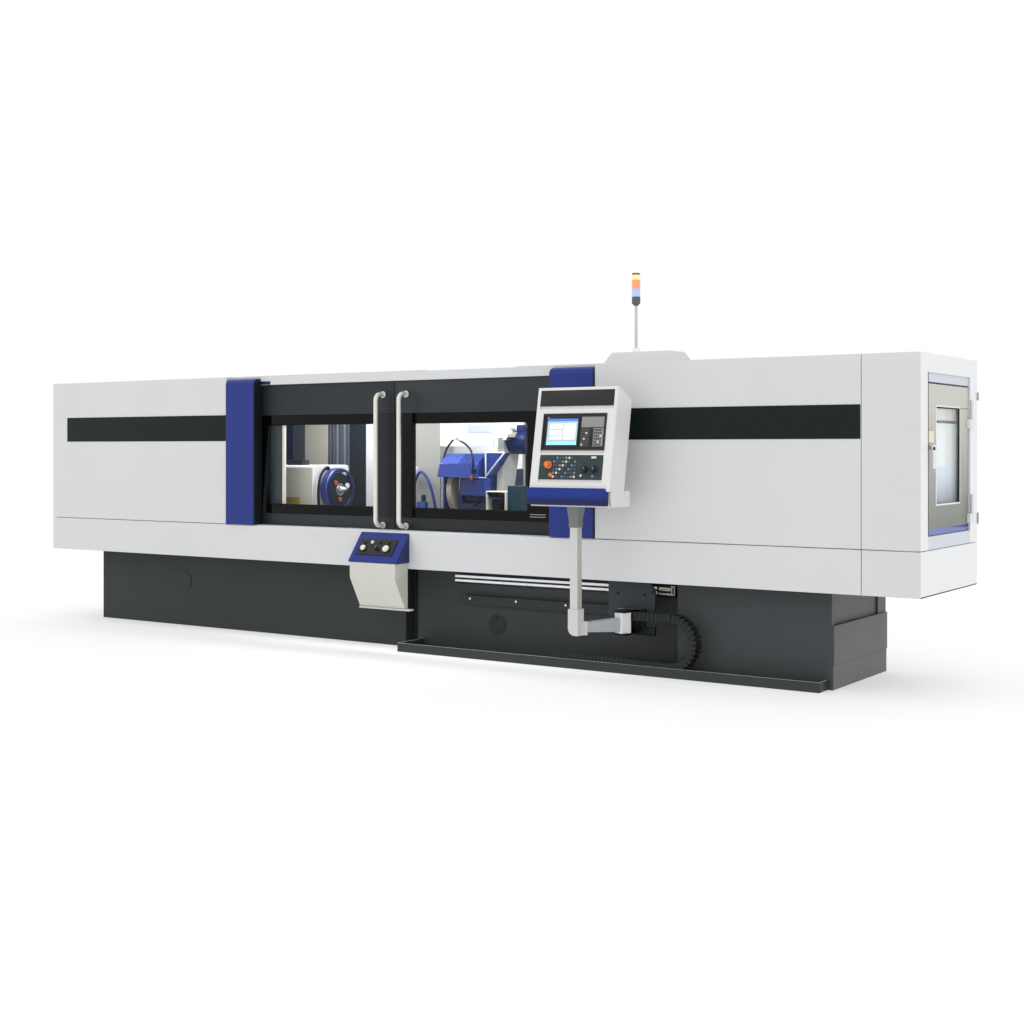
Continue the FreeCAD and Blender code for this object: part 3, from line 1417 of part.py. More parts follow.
def belt_outline(low_radius, low_y, low_z, high_radius, high_y, high_z):
    """A belt-shaped face round two pulleys, flat in X, at the belt cover's inner side."""
    x = head_start_x + head_width
    gap = math.hypot(high_y - low_y, high_z - low_z)
    lean = math.atan2(high_y - low_y, high_z - low_z)
    spread = math.asin((high_radius - low_radius) / gap)

    def at(cy, cz, radius, angle):
        return V(x, cy + radius * math.sin(angle + lean), cz + radius * math.cos(angle + lean))

    side = math.pi / 2 + spread
    a = at(high_y, high_z, high_radius, side)
    b = at(high_y, high_z, high_radius, -side)
    c = at(low_y, low_z, low_radius, -side)
    d = at(low_y, low_z, low_radius, side)
    return Part.Face(Part.Wire([
        Part.Arc(a, at(high_y, high_z, high_radius, 0), b).toShape(),
        Part.LineSegment(b, c).toShape(),
        Part.Arc(c, at(low_y, low_z, low_radius, math.pi), d).toShape(),
        Part.LineSegment(d, a).toShape()]))


def write_parts():
    """Moves every piece so that the floor's centre point is the origin, and writes the files."""
    box = Part.makeCompound([s for solids in nodes.values() for s in solids]).BoundBox
    centre = V((box.XMin + box.XMax) / 2, (box.YMin + box.YMax) / 2, 0)
    os.makedirs("parts", exist_ok=True)
    for name, solids in nodes.items():
        shape = Part.makeCompound(solids) if len(solids) > 1 else solids[0]
        shape = shape.copy()
        shape.translate(centre.negative())
        shape.exportStep("parts/" + name + ".step")
    return centre


make_beds()
make_base_fittings()
make_pendant_rail()
make_cabinets()
make_apron()
make_column("left_column", left_column_x, doorway_x)
make_column("right_column", doorway_end, right_column_end)
make_strips()
make_roof()
make_signal_tower()
make_rear()
make_inner_frame()
make_doors()
make_end_door()
make_carriage()
make_arm()
make_socket()
make_pendant()
make_pendant_controls()
make_chain()
make_station()
make_ways()
make_table()
make_workhead()
make_tailstock()
make_cross_slide()
make_wheelhead()
origin = write_parts()
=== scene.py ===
import json
import math
import bpy
from mathutils import Matrix, Vector


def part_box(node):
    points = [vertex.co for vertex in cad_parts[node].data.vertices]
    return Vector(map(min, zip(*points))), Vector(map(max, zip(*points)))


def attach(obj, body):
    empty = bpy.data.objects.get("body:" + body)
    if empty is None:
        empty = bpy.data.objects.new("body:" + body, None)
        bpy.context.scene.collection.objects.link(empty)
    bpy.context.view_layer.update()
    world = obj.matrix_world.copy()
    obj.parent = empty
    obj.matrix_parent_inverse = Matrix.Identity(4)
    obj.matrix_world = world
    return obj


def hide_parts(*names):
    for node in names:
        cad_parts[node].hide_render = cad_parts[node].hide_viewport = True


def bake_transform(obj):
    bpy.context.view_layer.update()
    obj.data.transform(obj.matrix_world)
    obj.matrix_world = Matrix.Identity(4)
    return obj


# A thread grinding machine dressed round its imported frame. Metres, +X to the right of the
# operator, +Y to the rear and +Z up, with the floor at Z = 0.

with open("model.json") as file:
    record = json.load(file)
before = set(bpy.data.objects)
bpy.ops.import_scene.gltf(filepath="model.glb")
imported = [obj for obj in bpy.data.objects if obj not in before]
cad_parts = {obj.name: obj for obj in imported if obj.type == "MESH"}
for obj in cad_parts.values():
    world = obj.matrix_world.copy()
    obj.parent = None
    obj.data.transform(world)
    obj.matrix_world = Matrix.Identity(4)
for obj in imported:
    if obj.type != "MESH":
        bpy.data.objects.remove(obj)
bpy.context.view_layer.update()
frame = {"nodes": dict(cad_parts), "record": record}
record = frame["record"]
bodies = record["behaviour"]["bodies"]
body_of = {node: body for body, names in bodies.items() for node in names}

# Places that many pieces share
apron_low, apron_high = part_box("apron")
centre_x = (apron_low[0] + apron_high[0]) / 2
front_y = apron_low[1]
right_x = apron_high[0]
rear_y = apron_high[1]
housing_low, housing_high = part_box("pendant_housing")
wrist_low, wrist_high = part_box("wrist_rest")
face_width = housing_high[0] - housing_low[0]
station_low, station_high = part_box("station_top")
station_reach = 0.140

# The lower left corner and the lean of the two sloping faces
pendant_face = (Vector((housing_low[0], housing_low[1], wrist_high[2])), math.radians(10))
station_face = (Vector((station_low[0], front_y - station_reach, 0.604)), math.atan2(station_reach, 0.184))


def at(x, y, z):
    """A place measured from the middle of the shell's front at the floor."""
    return Vector((centre_x + x, front_y + y, z))


def middle(node):
    low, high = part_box(node)
    return (Vector(low) + Vector(high)) / 2


def tilt(obj, face):
    """Moves a piece made flat at the origin, z up the face and -y out of it, on to a sloping face."""
    corner, lean = face
    obj.data.transform(Matrix.Translation(corner) @ Matrix.Rotation(-lean, 4, "X"))


def untilt(point, face):
    """Where a point on a sloping face lies before the tilt."""
    corner, lean = face
    return Matrix.Rotation(lean, 4, "X") @ (point - corner)


def border(x0, x1, v0, v1, rim):
    """The four bars of a frame within an outline: top, bottom, left and right."""
    return ((x0, x1, v1 - rim, v1), (x0, x1, v0, v0 + rim), (x0, x0 + rim, v0 + rim, v1 - rim),
            (x1 - rim, x1, v0 + rim, v1 - rim))


# Selecting and shaping

def deselect():
    if bpy.context.mode != "OBJECT":
        bpy.ops.object.mode_set(mode="OBJECT")
    bpy.ops.object.select_all(action="DESELECT")


def make_active(obj):
    deselect()
    obj.select_set(True)
    bpy.context.view_layer.objects.active = obj


def new_object(name, data):
    obj = bpy.data.objects.new(name, data)
    bpy.context.scene.collection.objects.link(obj)
    return obj


def start_editing(obj):
    """Edit mode with the whole mesh selected."""
    make_active(obj)
    bpy.ops.object.mode_set(mode="EDIT")
    bpy.ops.mesh.select_all(action="SELECT")


def settle(obj):
    """Puts the object's place into its mesh."""
    make_active(obj)
    bpy.ops.object.transform_apply(location=True, rotation=True, scale=True)


def apply_modifiers(obj):
    make_active(obj)
    for modifier in list(obj.modifiers):
        bpy.ops.object.modifier_apply(modifier=modifier.name)


def bevel(obj, width, segments=3, angle=30):
    """Rounds the edges sharper than the angle."""
    modifier = obj.modifiers.new("soft_edges", "BEVEL")
    modifier.width = width
    modifier.segments = segments
    modifier.limit_method = "ANGLE"
    modifier.angle_limit = math.radians(angle)
    modifier.harden_normals = False
    apply_modifiers(obj)


def smooth(obj, angle=35):
    make_active(obj)
    bpy.ops.object.shade_smooth_by_angle(angle=math.radians(angle))


def dress(obj, name, material, body):
    """Names a piece, gives it its finish and lets it ride on its body."""
    obj.name = name
    obj.data.name = name
    obj.data.materials.clear()
    obj.data.materials.append(material)
    if body:
        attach(obj, body)
    return obj


def block(name, low, high, material, body, soft=0.002, segments=2):
    """A box between two corners with its edges rounded."""
    deselect()
    low = Vector(low)
    high = Vector(high)
    bpy.ops.mesh.primitive_cube_add(size=1, location=(low + high) / 2)
    obj = bpy.context.object
    obj.scale = high - low
    settle(obj)
    if soft:
        bevel(obj, min(soft, 0.45 * min(high - low)), segments)
        smooth(obj)
    return dress(obj, name, material, body)


def rod(name, start, end, radius, material, body, sides=32, soft=0.0015, top_radius=None):
    """A round bar or cone between two points with its rims rounded."""
    deselect()
    start = Vector(start)
    end = Vector(end)
    along = end - start
    bpy.ops.mesh.primitive_cone_add(vertices=sides, radius1=radius, depth=along.length,
                                    radius2=radius if top_radius is None else top_radius,
                                    location=(0, 0, 0))
    obj = bpy.context.object
    obj.matrix_world = (Matrix.Translation((start + end) / 2)
                        @ along.to_track_quat("Z", "Y").to_matrix().to_4x4())
    settle(obj)
    if soft:
        bevel(obj, min(soft, 0.4 * radius, 0.4 * along.length), 2, 40)
    smooth(obj)
    return dress(obj, name, material, body)


def prism(name, outline, axis, low, high, material, body, soft=0.002, segments=2):
    """An outline of points pushed out along X, Y or Z. The points are in the other two axes."""
    order = {"X": (1, 2, 0), "Y": (0, 2, 1), "Z": (0, 1, 2)}[axis]
    rings = []
    for along in (low, high):
        ring = []
        for a, b in outline:
            point = [0, 0, 0]
            point[order[0]] = a
            point[order[1]] = b
            point[order[2]] = along
            ring.append(point)
        rings.append(ring)
    count = len(outline)
    faces = [list(range(count))[::-1], list(range(count, 2 * count))]
    faces += [(n, (n + 1) % count, count + (n + 1) % count, count + n) for n in range(count)]
    mesh = bpy.data.meshes.new(name)
    mesh.from_pydata(rings[0] + rings[1], [], faces)
    obj = new_object(name, mesh)
    start_editing(obj)
    bpy.ops.mesh.normals_make_consistent(inside=False)
    bpy.ops.object.mode_set(mode="OBJECT")
    if soft:
        bevel(obj, soft, segments)
    smooth(obj)
    return dress(obj, name, material, body)


def lathe(name, profile, centre, axis, material, body, steps=40, soft=0):
    """A (radius, height) outline spun about an axis through the centre."""
    mesh = bpy.data.meshes.new(name)
    mesh.from_pydata([(radius, 0, height) for radius, height in profile],
                     [(n, n + 1) for n in range(len(profile) - 1)], [])
    obj = new_object(name, mesh)
    start_editing(obj)
    bpy.ops.mesh.spin(steps=steps, angle=math.tau, center=(0, 0, 0), axis=(0, 0, 1), use_auto_merge=True)
    bpy.ops.mesh.select_all(action="SELECT")
    bpy.ops.mesh.remove_doubles(threshold=0.00002)
    bpy.ops.mesh.normals_make_consistent(inside=False)
    bpy.ops.object.mode_set(mode="OBJECT")
    obj.matrix_world = Matrix.Translation(centre) @ Vector(axis).to_track_quat("Z", "Y").to_matrix().to_4x4()
    settle(obj)
    if soft:
        bevel(obj, soft, 2, 40)
    smooth(obj)
    return dress(obj, name, material, body)


def copy_node(node, material, soft=0.003, segments=3, name=None, angle=30, flat=False):
    """A softened copy of a CAD piece, which it stands for. Sheets and blocks are shaded flat."""
    source = frame["nodes"][node]
    obj = source.copy()
    obj.data = source.data.copy()
    obj.parent = None
    obj.matrix_world = Matrix.Identity(4)
    bpy.context.scene.collection.objects.link(obj)
    start_editing(obj)
    bpy.ops.mesh.remove_doubles(threshold=0.00001)
    bpy.ops.mesh.dissolve_limited(angle_limit=math.radians(0.5))
    bpy.ops.object.mode_set(mode="OBJECT")
    if soft:
        bevel(obj, soft, segments, angle)
    low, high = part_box(node)
    for vertex in obj.data.vertices:
        vertex.co = [min(max(vertex.co[axis], low[axis]), high[axis]) for axis in range(3)]
    if flat:
        make_active(obj)
        bpy.ops.object.shade_flat()
    else:
        smooth(obj)
        modifier = obj.modifiers.new("even_shading", "WEIGHTED_NORMAL")
        modifier.keep_sharp = True
        apply_modifiers(obj)
    dress(obj, name or node + "_shell", material, body_of[node])
    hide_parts(node)
    return obj


def paint(obj, material, wanted):
    """Gives a second finish to the faces whose centre and normal pass the test."""
    obj.data.materials.append(material)
    index = len(obj.data.materials) - 1
    for face in obj.data.polygons:
        if wanted(face.center, face.normal):
            face.material_index = index


def cut_plane(obj, point, normal):
    """Adds a line of edges where the plane crosses the piece, so finishes can meet there."""
    start_editing(obj)
    bpy.ops.mesh.bisect(plane_co=point, plane_no=normal)
    bpy.ops.object.mode_set(mode="OBJECT")


def join(objects, name):
    """Makes one piece of several that share a body."""
    deselect()
    for obj in objects:
        obj.select_set(True)
    bpy.context.view_layer.objects.active = objects[0]
    bpy.ops.object.join()
    joined = bpy.context.object
    joined.name = name
    joined.data.name = name
    return joined


def pipe(name, points, radius, material, body, steps=8):
    """A formed pipe through the points, with soft corners."""
    places = [Vector(point) for point in points]
    ends = [2 * places[0] - places[1]] + places + [2 * places[-1] - places[-2]]
    path = []
    for n in range(1, len(ends) - 2):
        before, start, end, after = ends[n - 1:n + 3]
        for step in range(steps):
            t = step / steps
            path.append(0.5 * (2 * start + (end - before) * t
                               + (2 * before - 5 * start + 4 * end - after) * t * t
                               + (3 * start - before - 3 * end + after) * t ** 3))
    path.append(places[-1])
    curve = bpy.data.curves.new(name, "CURVE")
    curve.dimensions = "3D"
    curve.bevel_depth = radius
    curve.bevel_resolution = 4
    curve.use_fill_caps = True
    line = curve.splines.new("POLY")
    line.points.add(len(path) - 1)
    for point, place in zip(line.points, path):
        point.co = (*place, 1)
    make_active(new_object(name, curve))
    bpy.ops.object.convert(target="MESH")
    obj = bpy.context.object
    smooth(obj, 50)
    return dress(obj, name, material, body)


# Shader groups

def new_group(name, inputs):
    """A shader group that makes a colour, roughness and height of inputs with these first values."""
    group = bpy.data.node_groups.new(name, "ShaderNodeTree")
    kinds = {1: "NodeSocketFloat", 3: "NodeSocketVector", 4: "NodeSocketColor"}
    for label, value in inputs.items():
        kind = kinds[len(value) if isinstance(value, tuple) else 1]
        socket = group.interface.new_socket(name=label, in_out="INPUT", socket_type=kind)
        socket.default_value = value
    for label, kind in (("Colour", kinds[4]), ("Roughness", kinds[1]), ("Height", kinds[1])):
        group.interface.new_socket(name=label, in_out="OUTPUT", socket_type=kind)
    return group


def feed(tree, node, feeds):
    """Fills inputs of a node. Each feed is a value or the output of another node."""
    for socket, source in feeds.items():
        if isinstance(source, bpy.types.NodeSocket):
            tree.links.new(source, node.inputs[socket])
        else:
            node.inputs[socket].default_value = source


def add(tree, kind, feeds=None, **settings):
    """A new node with its settings and filled inputs."""
    node = tree.nodes.new(kind)
    for name, value in settings.items():
        setattr(node, name, value)
    feed(tree, node, feeds or {})
    return node


def object_place(tree):
    return add(tree, "ShaderNodeTexCoord").outputs["Object"]


def shaded(tree, colour, pattern, depth, base):
    """The colour made darker and lighter by a pattern, round the base."""
    shade = add(tree, "ShaderNodeMath", {0: pattern, 1: depth, 2: base}, operation="MULTIPLY_ADD")
    tint = add(tree, "ShaderNodeVectorMath", {0: colour, "Scale": shade.outputs[0]}, operation="SCALE")
    return tint.outputs[0]


def make_skin_group():
    """Fine orange peel, faint clouding and dust that gathers on upward faces."""
    group = new_group("paint_skin", {
        "Colour": (0.8, 0.8, 0.8, 1), "Clouding": 0.04, "Cloud size": 1.6, "Grain size": 260.0,
        "Gloss low": 0.3, "Gloss high": 0.42, "Dust colour": (0.4, 0.38, 0.35, 1), "Dust": 0.05})
    given = add(group, "NodeGroupInput").outputs
    place = object_place(group)
    cloud = add(group, "ShaderNodeTexNoise", {"Vector": place, "Scale": given["Cloud size"], "Detail": 3})
    grain = add(group, "ShaderNodeTexNoise", {"Vector": place, "Scale": given["Grain size"], "Detail": 2})
    swing = add(group, "ShaderNodeMapRange", {"Value": cloud.outputs["Fac"], "From Min": 0.3,
                                              "From Max": 0.7})
    tint = shaded(group, given["Colour"], swing.outputs["Result"], given["Clouding"], 0.97)
    shape = add(group, "ShaderNodeNewGeometry")
    split = add(group, "ShaderNodeSeparateXYZ", {0: shape.outputs["Normal"]})
    up = add(group, "ShaderNodeMath", {0: split.outputs["Z"], 1: given["Dust"]},
             operation="MULTIPLY", use_clamp=True)
    mix = add(group, "ShaderNodeMix", {"Factor": up.outputs[0], "A": tint, "B": given["Dust colour"]},
              data_type="RGBA")
    gloss = add(group, "ShaderNodeMapRange", {"Value": swing.outputs["Result"], "To Min": given["Gloss low"],
                                              "To Max": given["Gloss high"]})
    add(group, "NodeGroupOutput", {"Colour": mix.outputs["Result"], "Roughness": gloss.outputs["Result"],
                                   "Height": grain.outputs["Fac"]})
    return group


def make_brush_group():
    """Fine ground lines along X, Y or Z, by the stretch of the pattern."""
    group = new_group("ground_lines", {"Colour": (0.6, 0.6, 0.6, 1), "Stretch": (4, 300, 300),
                                       "Line depth": 0.12, "Gloss low": 0.2, "Gloss high": 0.36})
    given = add(group, "NodeGroupInput").outputs
    scale = add(group, "ShaderNodeVectorMath", {0: object_place(group), 1: given["Stretch"]},
                operation="MULTIPLY")
    lines = add(group, "ShaderNodeTexNoise", {"Vector": scale.outputs[0], "Scale": 1, "Detail": 3})
    tint = shaded(group, given["Colour"], lines.outputs["Fac"], given["Line depth"], 0.92)
    gloss = add(group, "ShaderNodeMapRange", {"Value": lines.outputs["Fac"], "From Min": 0.3, "From Max": 0.7,
                                              "To Min": given["Gloss low"], "To Max": given["Gloss high"]})
    add(group, "NodeGroupOutput", {"Colour": tint, "Roughness": gloss.outputs["Result"],
                                   "Height": lines.outputs["Fac"]})
    return group


skin_group = make_skin_group()
brush_group = make_brush_group()


# Materials

def start_material(name, metallic, bump, specular=0.5):
    """A material with its shader, and a bump node that feeds the shader's normal."""
    material = bpy.data.materials.new(name)
    material.use_nodes = True
    tree = material.node_tree
    shader = tree.nodes["Principled BSDF"]
    relief = add(tree, "ShaderNodeBump", {"Strength": bump, "Distance": 0.001})
    feed(tree, shader, {"Metallic": metallic, "Specular IOR Level": specular,
                        "Normal": relief.outputs["Normal"]})
    return material, tree, shader, relief


def grouped(name, group, values, metallic, bump, specular=0.5):
    """A material whose colour, roughness and height come from a shader group with these values."""
    material, tree, shader, relief = start_material(name, metallic, bump, specular)
    skin = add(tree, "ShaderNodeGroup", values, node_tree=group)
    feed(tree, shader, {"Base Color": skin.outputs["Colour"], "Roughness": skin.outputs["Roughness"]})
    feed(tree, relief, {"Height": skin.outputs["Height"]})
    return material


def painted(name, colour, gloss=(0.3, 0.42), clouding=0.04, cloud_size=1.6, grain=260.0, bump=0.05,
            dust=0.05, dust_colour=(0.4, 0.38, 0.35), metallic=0.0, specular=0.5):
    values = {"Colour": (*colour, 1), "Clouding": clouding, "Cloud size": cloud_size, "Grain size": grain,
              "Gloss low": gloss[0], "Gloss high": gloss[1], "Dust": dust, "Dust colour": (*dust_colour, 1)}
    return grouped(name, skin_group, values, metallic, bump, specular)


def dull(name, colour, gloss, specular=0.3, **finish):
    """A painted finish without dust that reflects little."""
    return painted(name, colour, gloss, dust=0.0, specular=specular, **finish)


def ground(name, colour, stretch, gloss=(0.2, 0.36), lines=0.12, bump=0.08):
    values = {"Colour": (*colour, 1), "Stretch": stretch, "Line depth": lines, "Gloss low": gloss[0],
              "Gloss high": gloss[1]}
    return grouped(name, brush_group, values, 1.0, bump)


def skin_of(material):
    return next(node for node in material.node_tree.nodes if node.type == "GROUP")


def graded(name, low_colour, high_colour, z_low, z_high, **finish):
    """A painted finish whose colour changes with height."""
    material = painted(name, high_colour, **finish)
    tree = material.node_tree
    split = add(tree, "ShaderNodeSeparateXYZ", {0: object_place(tree)})
    share = add(tree, "ShaderNodeMapRange", {"Value": split.outputs["Z"], "From Min": z_low,
                                             "From Max": z_high})
    mix = add(tree, "ShaderNodeMix", {"Factor": share.outputs["Result"], "A": (*low_colour, 1),
                                      "B": (*high_colour, 1)}, data_type="RGBA")
    feed(tree, skin_of(material), {"Colour": mix.outputs["Result"]})
    return material


def lit(material, strength):
    """Lets a finish glow in its own colours, as painted light."""
    tree = material.node_tree
    feed(tree, tree.nodes["Principled BSDF"], {"Emission Color": skin_of(material).outputs["Colour"],
                                               "Emission Strength": strength})
    return material


def pane(name, colour, see_through, gloss):
    """A clear pane with faint wipe marks."""
    material, tree, shader, relief = start_material(name, 0.0, 0.02)
    wipe = add(tree, "ShaderNodeTexNoise", {"Vector": object_place(tree), "Scale": 3.0, "Detail": 4})
    rough = add(tree, "ShaderNodeMapRange", {"Value": wipe.outputs["Fac"], "To Min": gloss[0],
                                             "To Max": gloss[1]})
    feed(tree, relief, {"Height": wipe.outputs["Fac"]})
    feed(tree, shader, {"Base Color": (*colour, 1), "Alpha": see_through,
                        "Roughness": rough.outputs["Result"]})
    return material


def glowing(name, colour, strength):
    """A ribbed part that glows."""
    material, tree, shader, relief = start_material(name, 0.0, 0.02)
    ribs = add(tree, "ShaderNodeTexWave", {"Vector": object_place(tree), "Scale": 60}, bands_direction="Z")
    feed(tree, relief, {"Height": ribs.outputs["Fac"]})
    feed(tree, shader, {"Base Color": (*colour, 1), "Roughness": 0.2, "Emission Color": (*colour, 1),
                        "Emission Strength": strength})
    return material


# Shell, columns and doors
white_paint = painted("white_paint", (0.655, 0.665, 0.675), gloss=(0.34, 0.46), clouding=0.035, dust=0.03,
                      dust_colour=(0.6, 0.6, 0.6))
# A lighter copy of the white paint for faces at the right end: painted light.
end_white_painted_light = painted("end_white_painted_light_paint", (0.8, 0.81, 0.82), gloss=(0.34, 0.46), clouding=0.03, dust=0.0)
pendant_white = painted("pendant_white", (0.76, 0.755, 0.745), gloss=(0.3, 0.42), clouding=0.03, dust=0.0)
warm_white = painted("warm_white_paint", (0.6, 0.6, 0.55), gloss=(0.32, 0.44), clouding=0.04)
royal_blue = dull("royal_blue_paint", (0.005, 0.022, 0.2), (0.28, 0.4), clouding=0.1, specular=0.35)
# The doors' slate changes with height as painted light and shade: the left door a little lighter towards the
# bottom, the right door darker towards the bottom.
slate_left_painted_light = graded("slate_left_painted_light", (0.012, 0.018, 0.024), (0.010, 0.015, 0.019), 0.85, 1.75,
                    gloss=(0.34, 0.46), clouding=0.08, dust=0.0, specular=0.35)
slate_right_painted_shade = graded("slate_right_painted_shade", (0.005, 0.009, 0.013), (0.021, 0.028, 0.035), 0.85, 1.75,
                     gloss=(0.34, 0.46), clouding=0.08, dust=0.0, specular=0.35)
slate_deep = dull("slate_deep", (0.008, 0.011, 0.014), (0.3, 0.42), clouding=0.1)
black_gloss = dull("black_gloss_glass", (0.001, 0.0015, 0.001), (0.06, 0.12), bump=0.01, clouding=0.02,
                   specular=0.15)
strip_black = dull("strip_black", (0.005, 0.009, 0.009), (0.26, 0.36), bump=0.02, specular=0.18)

# Castings, tray, guard bar and rail
casting_grey = painted("casting_grey", (0.026, 0.033, 0.029), gloss=(0.48, 0.66), clouding=0.16,
                       cloud_size=2.6, grain=120.0, bump=0.35, dust=0.1, dust_colour=(0.2, 0.2, 0.19),
                       specular=0.3)
# A lighter copy of the casting for the right bed: painted light.
casting_right_painted_light = painted("casting_right_painted_light", (0.044, 0.049, 0.052), gloss=(0.48, 0.66), clouding=0.2,
                        cloud_size=1.2, grain=120.0, bump=0.35, dust=0.1, dust_colour=(0.2, 0.2, 0.19),
                        specular=0.3)
# A much lighter copy of the casting for the beds' right end faces: painted light.
casting_end_painted_light = painted("casting_end_painted_light", (0.125, 0.13, 0.13), gloss=(0.48, 0.66), clouding=0.12, grain=120.0,
                      bump=0.3, dust=0.1, specular=0.3)
tray_paint = painted("tray_paint", (0.03, 0.039, 0.033), gloss=(0.38, 0.52), clouding=0.14, grain=150.0,
                     bump=0.15, dust=0.06, dust_colour=(0.2, 0.2, 0.19), specular=0.3)
guard_paint = painted("guard_paint", (0.022, 0.03, 0.031), gloss=(0.36, 0.5), clouding=0.1, dust=0.05,
                      specular=0.3)
# Dark navy for the rail round its bars, as painted shade of the recess under them.
rail_dark_painted_shade = dull("rail_dark_painted_shade", (0.006, 0.009, 0.022), (0.36, 0.5), clouding=0.1)

# Carriage, arm, post and end door
carriage_paint = painted("carriage_paint", (0.024, 0.033, 0.045), gloss=(0.34, 0.48), clouding=0.1, dust=0.04,
                         specular=0.35)
ledge_paint = painted("ledge_paint", (0.075, 0.095, 0.12), gloss=(0.34, 0.48), clouding=0.1, dust=0.04)
tube_paint = painted("tube_paint", (0.39, 0.415, 0.44), gloss=(0.34, 0.46), clouding=0.05)
post_paint = painted("post_paint", (0.6, 0.605, 0.585), gloss=(0.3, 0.42), clouding=0.04)
# A darker copy of the post paint for its right faces: painted shade.
post_side_painted_shade = painted("post_side_painted_shade_paint", (0.45, 0.455, 0.415), gloss=(0.34, 0.46), clouding=0.04)
socket_paint = painted("socket_paint", (0.16, 0.175, 0.165), gloss=(0.4, 0.52), clouding=0.05)
# The end door's grey darkens towards the bottom: painted shade.
door_warm_grey_painted_shade = graded("door_warm_grey_painted_shade", (0.165, 0.172, 0.150), (0.54, 0.54, 0.49), 0.93, 1.58,
                        gloss=(0.36, 0.5), clouding=0.06)
pale_blue_grey = painted("pale_blue_grey", (0.6, 0.64, 0.72), gloss=(0.34, 0.46))
cream_plate = painted("cream_plate", (0.8, 0.74, 0.55), gloss=(0.4, 0.5))
dark_seam = painted("dark_seam", (0.02, 0.02, 0.022), gloss=(0.5, 0.6), specular=0.2)
# Grey for the hinge tabs, and for a painted highlight on the drip tray's lip.
tab_grey_and_painted_highlight = painted("tab_grey_and_painted_highlight", (0.35, 0.36, 0.37), gloss=(0.4, 0.5))

# Pendant and station
panel_black = dull("panel_black", (0.018, 0.019, 0.019), (0.3, 0.42), grain=600.0, bump=0.04)
panel_teal = dull("panel_teal", (0.022, 0.04, 0.043), (0.34, 0.46), grain=600.0, bump=0.04, specular=0.35)
key_grey = painted("key_grey", (0.26, 0.27, 0.27), gloss=(0.38, 0.5), grain=900.0)
key_white = painted("key_white", (0.74, 0.74, 0.7), gloss=(0.34, 0.46), grain=900.0)
key_blue = painted("key_blue", (0.12, 0.24, 0.5), gloss=(0.34, 0.46), grain=900.0)
key_mid = painted("key_mid", (0.085, 0.09, 0.09), gloss=(0.34, 0.46), grain=900.0, specular=0.35)
key_dark = painted("key_dark", (0.035, 0.038, 0.04), gloss=(0.34, 0.46), grain=900.0, specular=0.35)
wrist_height = wrist_high[2] - wrist_low[2]
wrist_vinyl = graded("wrist_vinyl", (0.003, 0.006, 0.080), (0.006, 0.026, 0.225),
                     wrist_low[2] + 0.22 * wrist_height, wrist_low[2] + 0.62 * wrist_height,
                     gloss=(0.40, 0.52), grain=420.0, bump=0.12, clouding=0.10, specular=0.3, dust=0.0)
knob_black = painted("knob_black", (0.01, 0.011, 0.012), gloss=(0.3, 0.44), grain=700.0, specular=0.3)
orange_button = painted("orange_button", (0.86, 0.19, 0.02), gloss=(0.22, 0.32), grain=700.0, bump=0.02)
ivory_cap = painted("ivory_cap", (0.8, 0.78, 0.66), gloss=(0.2, 0.32), grain=700.0, bump=0.02)

# Chain and rubber
chain_black = painted("chain_black", (0.01, 0.014, 0.012), gloss=(0.42, 0.58), grain=300.0, bump=0.12,
                      clouding=0.2, specular=0.3)
rubber_black = painted("rubber_black", (0.006, 0.006, 0.007), gloss=(0.6, 0.75), grain=400.0, bump=0.2,
                       specular=0.2)

# Working chamber
guard_blue = painted("guard_blue_paint", (0.022, 0.048, 0.26), gloss=(0.22, 0.36), clouding=0.16, dust=0.0)
# Light blue for the end door's kick band, and for a painted highlight on the wheel guard's upper facets.
guard_light_and_painted_highlight = painted("guard_light_blue_and_painted_highlight", (0.06, 0.1, 0.4), gloss=(0.22, 0.36), clouding=0.16, dust=0.0)
guard_deep = dull("guard_deep_blue", (0.006, 0.016, 0.09), (0.26, 0.38), clouding=0.12, specular=0.35)
drive_teal = dull("drive_teal", (0.01, 0.045, 0.07), (0.26, 0.38), clouding=0.2, specular=0.35)
# Pale blue-white for strips along lit edges of the wheel guard: painted highlights.
guard_edge_painted_highlight = painted("guard_edge_painted_highlight_paint", (0.66, 0.74, 0.86), gloss=(0.3, 0.4))
ivory_paint = painted("ivory_paint", (0.82, 0.8, 0.68), gloss=(0.32, 0.44))
cover_grey = painted("cover_grey", (0.52, 0.54, 0.5), gloss=(0.32, 0.44), clouding=0.1)
# White for liners and small parts, and for the headstock's lit faces as painted light.
liner_white = painted("liner_white", (0.86, 0.88, 0.9), gloss=(0.36, 0.5), clouding=0.06, cloud_size=0.9)
liner_grey = painted("liner_grey", (0.4, 0.41, 0.375), gloss=(0.4, 0.55), clouding=0.12, cloud_size=0.9)
liner_blue = painted("liner_pale_blue", (0.55, 0.64, 0.8), gloss=(0.4, 0.5), clouding=0.1)
smoke_grey = dull("smoke_grey", (0.024, 0.034, 0.04), (0.3, 0.4), clouding=0.2, specular=0.35)
liner_slate = painted("liner_slate", (0.075, 0.088, 0.11), gloss=(0.4, 0.5), clouding=0.16, dust=0.0)
curtain_light = painted("curtain_light", (0.16, 0.19, 0.24), gloss=(0.4, 0.5), clouding=0.1, dust=0.0)
liner_dark = dull("liner_dark", (0.014, 0.02, 0.026), (0.4, 0.5), clouding=0.2)
liner_beige = painted("liner_beige", (0.6, 0.59, 0.51), gloss=(0.4, 0.55), clouding=0.12, cloud_size=0.9)
sump_ochre = painted("sump_ochre", (0.42, 0.27, 0.05), gloss=(0.3, 0.55), clouding=0.3, cloud_size=9.0)
brick_red = painted("brick_red", (0.4, 0.085, 0.04), gloss=(0.3, 0.5), clouding=0.3, cloud_size=9.0)
